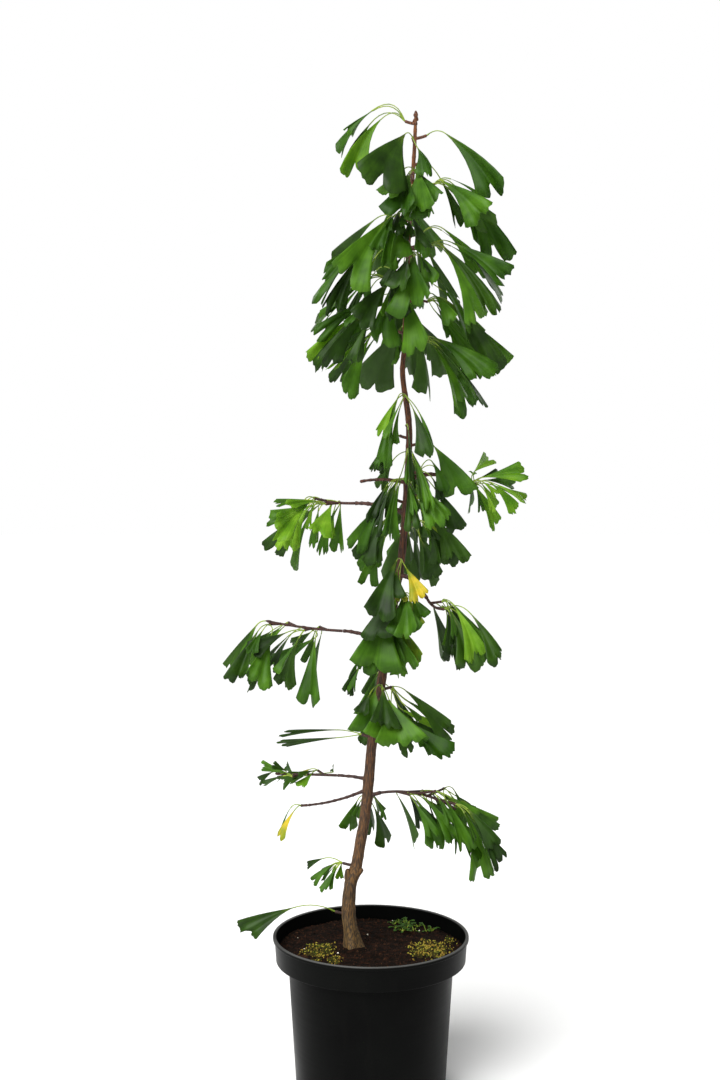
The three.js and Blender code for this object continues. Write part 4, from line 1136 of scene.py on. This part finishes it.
def blade_outline(leaf, across, dice):
    """How far out the blade ends in each column, as a share of its length."""
    end = np.where(across > 0, leaf["right"], leaf["left"])
    end = end * (1 - dice.uniform(*OUTER_CUT) * abs(across) ** 3)
    middle = np.exp(-((abs(across - NOTCH) / dice.uniform(*NOTCH_HALF)) ** 1.3))
    end = end - (leaf["notch"] - (1 - min(leaf["right"], leaf["left"]))) * middle
    for _ in range(dice.integers(*LOBE_CLEFTS)):
        place, depth = dice.uniform(-CLEFT_PLACE, CLEFT_PLACE), dice.uniform(*CLEFT_DEPTH)
        end = end - depth * np.exp(-((abs(across - place) / CLEFT_HALF) ** 1.5))
    return end + dice.uniform(*RAGGED, len(across))


def blade_faces(rows, wide):
    """Faces of a shell of two grids of rows by wide points, one above the other, and of its rim."""
    count, last = rows * wide, (rows - 1) * wide
    faces = []
    for a in (row * wide + column for row in range(rows - 1) for column in range(wide - 1)):
        faces.append((a, a + 1, a + 1 + wide, a + wide))
        faces.append((count + a, count + a + wide, count + a + 1 + wide, count + a + 1))
    rim = [*range(wide), *range(2 * wide - 1, last + wide, wide),
           *range(last + wide - 2, last - 1, -1), *range(last - wide, 0, -wide)]
    return faces + [(b, a, count + a, count + b) for a, b in round_trip(rim)]


def blade_shell(leaf, dice):
    """Points, faces, UVs and underside marks of one blade."""
    across = np.linspace(-1, 1, BLADE_COLUMNS)
    end = blade_outline(leaf, across, dice)
    rows = BLADE_ROWS[:, None]
    foot = min(0.5, 2 * STALK_RADIUS / leaf["width"])
    spread = across * (foot + (1 - foot) * rows**WEDGE_POWER)
    wave = dice.uniform(*WAVE_HEIGHT) * leaf["length"] * rows**2
    wave = wave * np.sin(across * dice.uniform(*WAVE_COUNT) + dice.uniform(0, 6.28))
    curl = dice.uniform(*CURL) * leaf["length"] * rows**3 * across**2
    middle = blade_point(leaf, rows * end, spread, wave + curl, crease=CREASE * leaf["width"])
    normal = np.cross(np.gradient(middle, axis=1), np.gradient(middle, axis=0))
    normal /= np.maximum(np.linalg.norm(normal, axis=-1, keepdims=True), 1e-9)
    half = normal * (BLADE_THICKNESS / 2)
    points = np.concatenate([(middle + half).reshape(-1, 3), (middle - half).reshape(-1, 3)])
    uv = np.stack(np.broadcast_arrays((across + 1) / 2, rows), axis=-1).reshape(-1, 2)
    under = np.repeat([0.0, 1.0], len(uv))
    return points, blade_faces(len(BLADE_ROWS), BLADE_COLUMNS), np.vstack([uv, uv]), under


def leaf_piece(name, leaves, dice, material, replaced):
    """One piece of many blades, with its UV map and its tone and underside attributes."""
    shells = [blade_shell(leaf, dice) for leaf in leaves]
    piece = make_piece(name, *join_bodies([shell[:2] for shell in shells]), material, "foliage")
    mesh = piece.data
    corners = np.zeros(len(mesh.loops), dtype=int)
    mesh.loops.foreach_get("vertex_index", corners)
    uv_map = mesh.uv_layers.new(name="blade")
    uv_map.data.foreach_set("uv", np.vstack([shell[2] for shell in shells])[corners].ravel())
    add_values(mesh, "tone", np.repeat(dice.uniform(0, 1, len(shells)), len(shells[0][3])))
    add_values(mesh, "under", np.concatenate([shell[3] for shell in shells]))
    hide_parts(*replaced)


print("faces of one blade:", len(blade_faces(len(BLADE_ROWS), BLADE_COLUMNS)))

# %% Deal the colours out and make the leaves
BLADE_SEED = 100
dealer = np.random.default_rng(7)
leaves_of = {kind: [] for kind in BLADES}
for one in grown:
    chances = np.array(SPRAY_COLOURS.get(one["spray"]["name"], USUAL_COLOURS))
    for leaf in one["leaves"]:
        kind = list(BLADES)[dealer.choice(len(BLADES), p=chances / chances.sum())]
        leaves_of[kind].append(leaf)
for order, (kind, material) in enumerate(BLADES.items()):
    dice = np.random.default_rng(BLADE_SEED + order)
    leaf_piece(f"leaves_{kind}", leaves_of[kind], dice, material, ALL_SPRAYS)
print({kind: len(leaves) for kind, leaves in leaves_of.items()})

# %% [markdown]
# ## Bud
# At the top of the stem sits the end bud, a blunt cone of overlapping brown scales. A lathe with a
# few steps in its outline gives the scales at this size. Smaller buds sit below it.

# %% End buds
BUD_OUTLINE = [(0, 0), (2.2, 0), (3.2, 1.6), (3.1, 2.8), (3.5, 3.2), (3.0, 5.0), (2.5, 5.4),
               (2.6, 6.0), (1.4, 8.4), (0.5, 9.4), (0, 9.6)]
BUD_SIDES, BUD_SCALES, SCALE_RISE = 14, 3, 0.08
SIDE_BUDS = ((40, 7), (165, 10), (280, 14))  # turn, and how far below the tip
SIDE_BUD_SIZE, SIDE_BUD_OUT = 0.62, 2.6
BUD_SUNK = 2.5  # how far the end bud's foot is below the tip


def bud_body(middle, size):
    def scaly(rings):
        x, y, z = np.moveaxis(rings, -1, 0)
        scale = 1 + SCALE_RISE * np.cos(BUD_SCALES * np.arctan2(y, x) + z)
        return np.stack([x * scale, y * scale, z], axis=-1)

    points, faces = lathe(np.array(BUD_OUTLINE, float), BUD_SIDES, scaly)
    return np.array(points) * size + middle, faces


bud_bodies = [bud_body(stem_tip - (0, 0, BUD_SUNK), 1.0)]
for turn, drop in SIDE_BUDS:
    place = stem_tip + towards(turn, 0) * SIDE_BUD_OUT - (0, 0, drop)
    bud_bodies.append(bud_body(place, SIDE_BUD_SIZE))
buds = make_piece("end_buds", *join_bodies(bud_bodies), shoot_bark, "bark")
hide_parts("trunk")

# %% [markdown]
# ## Pot
# A nursery pot is thin polypropylene with carbon black in it, moulded in one piece: a tapered
# body, a step, a wide band and a small lip. Its skin is satin with very faint waves from the
# mould, and it is dusty where it has stood outside. It is a lathe of one outline whose corners are
# all rounded.

# %% Pot
POT_HEIGHT, POT_RIM_RADIUS, POT_BAND_HEIGHT, POT_BAND_FOOT = 225, 141.5, 38, 137
POT_BODY_TOP, POT_BASE, POT_WALL, POT_FLOOR = 119.5, 108, 2.2, 3.5
POT_LIP_HEIGHT, POT_LIP_DEPTH, POT_FOOT_ROUND, POT_FOOT_RING = 5, 2.5, 4, 9
POT_RAISED_MIDDLE, POT_RING_SLOPE = 1.6, 3  # of the underside, within its foot ring
POT_STEP, POT_STEP_DROP = 0.4, 6  # the taper ends this far in from the band's foot and below it
POT_SIDES = 160
CORNER_ROUND, CORNER_STEPS = 1.3, 4
BAND_FOOT = POT_HEIGHT - POT_BAND_HEIGHT
BAND_INSIDE = POT_BAND_FOOT - POT_WALL
RIM_INSIDE = POT_RIM_RADIUS - POT_WALL - POT_LIP_DEPTH
RIM_FOOT = POT_HEIGHT - POT_LIP_HEIGHT
POT_OUTLINE = [
    (0, POT_RAISED_MIDDLE), (POT_BASE - POT_FOOT_RING - POT_RING_SLOPE, POT_RAISED_MIDDLE),
    (POT_BASE - POT_FOOT_RING, 0), (POT_BASE - POT_FOOT_ROUND, 0), (POT_BASE, POT_FOOT_ROUND),
    (POT_BODY_TOP - POT_STEP, BAND_FOOT - POT_STEP_DROP), (POT_BODY_TOP, BAND_FOOT),
    (POT_BAND_FOOT, BAND_FOOT + POT_WALL),
    (POT_RIM_RADIUS - POT_LIP_DEPTH, RIM_FOOT), (POT_RIM_RADIUS, RIM_FOOT),
    (POT_RIM_RADIUS, POT_HEIGHT), (RIM_INSIDE, POT_HEIGHT),
    (BAND_INSIDE, BAND_FOOT + 2 * POT_WALL), (POT_BODY_TOP - POT_WALL, BAND_FOOT + POT_WALL),
    (POT_BASE - POT_WALL, POT_FLOOR), (0, POT_FLOOR),
]


def moulded_plastic(add, place):
    """Moulded polypropylene: near black, satin, with faint mould waves and a film of dust."""
    height = add("ShaderNodeSeparateXYZ", {"Vector": place}).outputs["Z"]
    smear = add("ShaderNodeTexNoise", {"Vector": place, "Scale": 9.0, "Detail": 5.0})
    grain = add("ShaderNodeTexNoise", {"Vector": place, "Scale": 900.0, "Detail": 2.0})
    black = add("ShaderNodeValToRGB", {"Fac": smear}, [(0.35, "#040404"), (0.65, "#080908")])
    dust_place = add("ShaderNodeMapping", {"Vector": place, "Scale": (60, 60, 14)})
    dust = add("ShaderNodeTexNoise", {"Vector": dust_place, "Scale": 1.0, "Detail": 6.0})
    film = add("ShaderNodeValToRGB", {"Fac": dust}, [(0.52, "#000000"), (0.85, "#2a2a2a")])
    dusty = add("ShaderNodeMix", {"Factor": film, "A": black, "B": linear("#3a3630")},
                data_type="RGBA")
    # A painted highlight: the sharp upper edge of the rim is lightened to a dull grey.
    edge = add("ShaderNodeMapRange", {0: height, 1: (POT_HEIGHT - 1.4) * MM, 2: POT_HEIGHT * MM})
    painted_rim_highlight = add("ShaderNodeMath", {0: edge, 1: smear}, operation="MULTIPLY")
    dust_and_rim_highlight = add("ShaderNodeMix", {"Factor": painted_rim_highlight, "A": dusty, "B": linear("#6c6c6a")},
               data_type="RGBA")
    gloss = add("ShaderNodeMapRange", {0: smear, 1: 0.3, 2: 0.7, 3: 0.3, 4: 0.46})
    # Mould waves run round the pot some 9 mm apart.
    waves = add("ShaderNodeTexNoise", {"W": height, "Scale": 110.0}, noise_dimensions="1D")
    bumps = add("ShaderNodeMath", {0: grain, 1: 0.12, 2: waves}, operation="MULTIPLY_ADD")
    bump = add("ShaderNodeBump", {"Height": bumps, "Strength": 0.25, "Distance": 0.0006})
    return add("ShaderNodeBsdfPrincipled", {
        "Base Color": dust_and_rim_highlight, "Roughness": gloss, "IOR": 1.49, "Specular IOR Level": 0.04,
        "Normal": bump})


pot_body = lathe(rounded(POT_OUTLINE, CORNER_ROUND, CORNER_STEPS), POT_SIDES)
pot_plastic = make_material("moulded_polypropylene", moulded_plastic)
pot = make_piece("nursery_pot", *pot_body, pot_plastic, "pot")
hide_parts("pot")

# %% [markdown]
# ## Compost
# Potting compost is dark red-brown peat with bits of bark. Its surface is uneven and a little
# higher round the stem. Moss and small weeds grow on it in patches, and a few white feed grains
# lie about. The surface is a lathe with a random relief, and attributes on it say where the moss
# lies. One Geometry Nodes tree strews lumps over it, once for each kind.

# %% Compost surface
COMPOST_SIDES = 120
COMPOST_RINGS = 34
SIDE_GAP, BRIM_GAP = 0.7, 0.4  # between the compost and the pot's wall, inside and at the top
COMPOST_DIP, DIP_START = 4, 112
MOUND_HEIGHT, MOUND_RADIUS = 5, 32
COARSE, FINE, FINE_SLANT = 1.1, 0.5, 0.6
CALM_RADIUS, CALM_SHARE = 20, 0.2  # the middle, where all the rings' points crowd, is smoother
LOWERED, MOSS_LIFT = 1.2, 1.6
CLEAR_RADIUS = 17  # nothing lies closer to the middle of the stem
STREWN_RADIUS = 132
# Patches of moss, each with its middle's x and y and its half widths, and how they fade out.
MOSS_PATCHES = [(-74, -27, 20, 32), (84, -22, 27, 36), (-52, -66, 10, 12), (116, 26, 8, 12)]
MOSS_END, MOSS_FADE, MOSS_RAGGED = 1.35, 0.5, 0.3
UNDER_MOSS = 0.7  # of the bark crumbs are missing there
FEED_FRONT, FEED_ELSEWHERE, FEED_SHARE = -60, 0.25, 0.8
STEM_X, STEM_Y = TRUNK_LINE[0, 1:3]


def patch_share(x, y, ragged=0.0):
    """From 0 to 1, how far a place is inside any patch of moss."""
    inside = [MOSS_END - np.hypot((x - px) / rx, (y - py) / ry) + ragged
              for px, py, rx, ry in MOSS_PATCHES]
    return np.clip(np.max(inside, axis=0) / MOSS_FADE, 0, 1)


def compost_body():
    above_step = COMPOST_TOP - COMPOST_DIP - BAND_FOOT - 2 * POT_WALL
    share = above_step / (POT_BAND_HEIGHT - 2 * POT_WALL)
    wall = between(BAND_INSIDE, RIM_INSIDE, share) - BRIM_GAP
    outside = [(0, POT_FLOOR + GAP), (POT_BASE - POT_WALL - SIDE_GAP, POT_FLOOR + GAP),
               (POT_BODY_TOP - POT_WALL - SIDE_GAP, BAND_FOOT + POT_WALL + GAP),
               (BAND_INSIDE - SIDE_GAP, BAND_FOOT + 2 * POT_WALL + GAP)]
    top = []
    for radius in np.linspace(wall, 0, COMPOST_RINGS):
        dip = COMPOST_DIP * max(0, (radius - DIP_START) / (wall - DIP_START))
        top.append((radius, COMPOST_TOP - dip))
    coarse, fine = (ripples(seed, count=14, turns=(-9, 10), lengths=(14, 60)) for seed in (11, 12))

    def uneven(rings):
        x, y, z = np.moveaxis(rings, -1, 0)
        turn, radius = np.arctan2(y, x), np.hypot(x, y)
        rough = coarse(turn, radius) * COARSE + fine(turn, x + FINE_SLANT * y) * FINE
        mound = MOUND_HEIGHT * np.exp(-(((x - STEM_X) ** 2 + (y - STEM_Y) ** 2) / MOUND_RADIUS**2))
        rough = np.clip(radius / CALM_RADIUS, CALM_SHARE, 1) * rough
        lifted = rough + mound + MOSS_LIFT * patch_share(x, y) - LOWERED
        on_top = z > COMPOST_TOP - COMPOST_DIP - 0.01
        return np.stack([x, y, np.where(on_top, z + lifted, z)], axis=-1)

    return lathe(np.array(outside + top), COMPOST_SIDES, uneven)


def moist_peat(add, place):
    """Moist peat: crumbly and matt, dark red-brown with paler bits of bark, green where mossy."""
    crumbs = add("ShaderNodeTexVoronoi", {"Vector": place, "Scale": 260.0})
    drift = add("ShaderNodeTexNoise", {"Vector": place, "Scale": 120.0, "Detail": 6.0})
    browns = [(0.3, "#060402"), (0.5, "#120a05"), (0.62, "#201008"), (0.78, "#3a2010")]
    peat = add("ShaderNodeValToRGB", {"Fac": drift}, browns)
    moss = add("ShaderNodeAttribute", attribute_name="moss").outputs["Fac"]
    mossy = add("ShaderNodeMath", {0: moss, 1: drift}, operation="MULTIPLY")
    cover = add("ShaderNodeValToRGB", {"Fac": mossy}, [(0.3, "#000000"), (0.5, "#b0b0b0")])
    colour = add("ShaderNodeMix", {"Factor": cover, "A": peat, "B": linear("#4a4a16")},
                 data_type="RGBA")
    height = add("ShaderNodeMath", {0: crumbs, 1: 0.6, 2: drift}, operation="MULTIPLY_ADD")
    bump = add("ShaderNodeBump", {"Height": height, "Strength": 0.9, "Distance": 0.0025})
    return add("ShaderNodeBsdfPrincipled", {
        "Base Color": colour, "Roughness": 0.92, "IOR": 1.4, "Specular IOR Level": 0.1,
        "Normal": bump})


compost_points, compost_faces = compost_body()
peat = make_material("moist_peat_compost", moist_peat)
compost = make_piece("compost_surface", compost_points, compost_faces, peat, "compost")
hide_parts("compost")
x, y, z = np.array(compost_points).T
on_top = (z > COMPOST_TOP - COMPOST_DIP - 4) & (np.hypot(x, y) < STREWN_RADIUS)
clear = on_top & (np.hypot(x - STEM_X, y - STEM_Y) > CLEAR_RADIUS)
ragged = np.random.default_rng(5).uniform(-MOSS_RAGGED, MOSS_RAGGED, len(x))
moss_share = patch_share(x, y, ragged)
add_values(compost.data, "moss", moss_share * clear)
add_values(compost.data, "crumbs", (1 - UNDER_MOSS * moss_share) * clear)
add_values(compost.data, "feed", (FEED_ELSEWHERE + (y < FEED_FRONT)) * clear * FEED_SHARE)
print("mossy share of the surface:", round(float(moss_share[clear].mean()), 2))

# %% The tree that strews lumps
FULL_TURNS = (6.28, 6.28, 6.28)


def strewing_tree():
    """Lumps strewn over the upper side of a surface, as thick as a named attribute says."""
    tree, add, given = new_tree("strewing", {
        "Surface": "Geometry", "Where": "String", "Density": "Float", "Size": "Vector",
        "Smallest": "Float", "Sunk": "Float", "Seed": "Int", "Finish": "Material"})
    seed = given["Seed"]
    where = add("GeometryNodeInputNamedAttribute", {"Name": given["Where"]}, data_type="FLOAT")
    density = add("ShaderNodeMath", {0: where, 1: given["Density"]}, operation="MULTIPLY")
    points = add("GeometryNodeDistributePointsOnFaces", {
        "Mesh": given["Surface"], "Density": density, "Seed": seed})
    lump = add("GeometryNodeMeshIcoSphere", {"Radius": 1.0, "Subdivisions": 1})
    turn = add("FunctionNodeRandomValue", {"Max": FULL_TURNS, "Seed": seed},
               data_type="FLOAT_VECTOR")
    grow = add("FunctionNodeRandomValue", {"Min": given["Smallest"], "Seed": seed},
               data_type="FLOAT")
    scale = add("ShaderNodeVectorMath", {0: given["Size"], "Scale": grow}, operation="SCALE")
    strewn = add("GeometryNodeInstanceOnPoints", {
        "Points": points, "Instance": lump, "Rotation": turn, "Scale": scale})
    down = add("ShaderNodeCombineXYZ", {"Z": given["Sunk"]})
    lowered = add("GeometryNodeSetPosition", {"Geometry": strewn, "Offset": down})
    end_tree(add, lowered, given["Finish"])
    return tree


def speckled_crumb(add, place, shades, scale, roughness):
    """A matt crumb whose colour runs through the given shades from lump to lump."""
    drift = add("ShaderNodeTexNoise", {"Vector": place, "Scale": scale, "Detail": 4.0})
    stops = zip(np.linspace(0.34, 0.66, len(shades)).tolist(), shades)
    shade = add("ShaderNodeValToRGB", {"Fac": drift}, list(stops))
    bump = add("ShaderNodeBump", {"Height": drift, "Strength": 0.5, "Distance": 0.001})
    return add("ShaderNodeBsdfPrincipled", {
        "Base Color": shade, "Roughness": roughness, "IOR": 1.4, "Specular IOR Level": 0.2,
        "Normal": bump})


# Name, where, how many a square metre, largest half sizes in mm, smallest share and how far sunk,
# and then the finish: its name, shades, scale and roughness.
STREWN = [
    ("bark_crumbs", "crumbs", 52000.0, (2.6, 1.5, 1.1), 0.3, 0.3,
     "composted_bark", ("#080503", "#180d07", "#2a170c", "#442a18"), 190.0, 0.9),
    ("moss_cushions", "moss", 60000.0, (3.4, 1.5, 1.3), 0.25, 0.0,
     "cushion_moss", ("#161e08", "#46561a", "#a8983a", "#84642a", "#323e12"), 160.0, 0.95),
    ("feed_grains", "feed", 500.0, (1.9, 1.6, 1.5), 0.7, 0.0,
     "feed_grain", ("#cfc8b4", "#ece6d6"), 300.0, 0.6),
]
strewing = strewing_tree()
for seed, (name, where, density, size, smallest, sunk, finish, *facts) in enumerate(STREWN):
    crumb = make_material(finish, speckled_crumb, *facts)
    lumps = run_tree(name, compost.data.copy(), strewing, crumb, "compost", Where=where,
                     Density=density, Size=[s * MM for s in size], Smallest=smallest,
                     Sunk=-sunk * MM, Seed=seed)
    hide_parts("compost")

# %% [markdown]
# ## Weeds
# A few small seedlings grow at the edge of the compost. They use the leaf's own mesh function with
# short, broad, uncut blades.

# %% Weeds
WEED_MIDDLE = (66, 80)
WEED_SPREAD = (30, 22)  # to either side of the middle, in mm
WEED_LIMIT = 112  # from the pot's middle, so that no leaf meets the wall
WEEDS = 16
WEED_TURNS = (0, 95, 180, 275)
WEED_BLADE, WEED_STALK, WEED_LIFT = (5, 11), (2, 8), (0, 5)
WEED_RISE, WEED_BEND = (5, 45), 50
WEED_BREADTH, WEED_FOLD, WEED_NOTCH = 0.7, math.radians(12), 0.02
WEED_STALK_RADIUS, WEED_STALK_POINTS = 0.5, 4


def weed_leaves(dice):
    leaves = []
    spots = WEED_MIDDLE + np.array(WEED_SPREAD) * dice.uniform(-1, 1, (4 * WEEDS, 2))
    for x, y in spots[np.hypot(*spots.T) < WEED_LIMIT][:WEEDS]:
        foot = np.array([x, y, COMPOST_TOP - 1])
        for turn in dice.uniform(0, 360) + np.array(WEED_TURNS):
            length, rise = dice.uniform(*WEED_BLADE), dice.uniform(*WEED_RISE)
            base = foot + towards(turn, rise) * dice.uniform(*WEED_STALK)
            base = base + (0, 0, dice.uniform(*WEED_LIFT))
            belly = base + towards(turn, rise) * length / 2
            tip = belly + towards(turn, rise - WEED_BEND) * length / 2
            leaves.append(dict(
                stalk=(foot, (foot + base) / 2, base), blade=(base, belly, tip), length=length,
                width=length * WEED_BREADTH, level=towards(turn + 90, 0), roll=0.0, fold=WEED_FOLD,
                notch=WEED_NOTCH, right=1, left=1))
    return leaves


weeds = weed_leaves(np.random.default_rng(9))
# The weeds take the deep green blades, whose darker colour is painted shade.
leaf_piece("weed_leaves", weeds, np.random.default_rng(10), BLADES["deep"], ["compost"])
shares = np.linspace(0, 1, WEED_STALK_POINTS)
thicknesses = np.full(WEED_STALK_POINTS, WEED_STALK_RADIUS)
weed_paths = [(bent_point(*leaf["stalk"], shares), thicknesses) for leaf in weeds]
weed_stalks = run_tree("weed_stalks", path_mesh("weed_paths", weed_paths), threads, green_stalk,
                       "foliage", Sides=5)
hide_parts("compost")
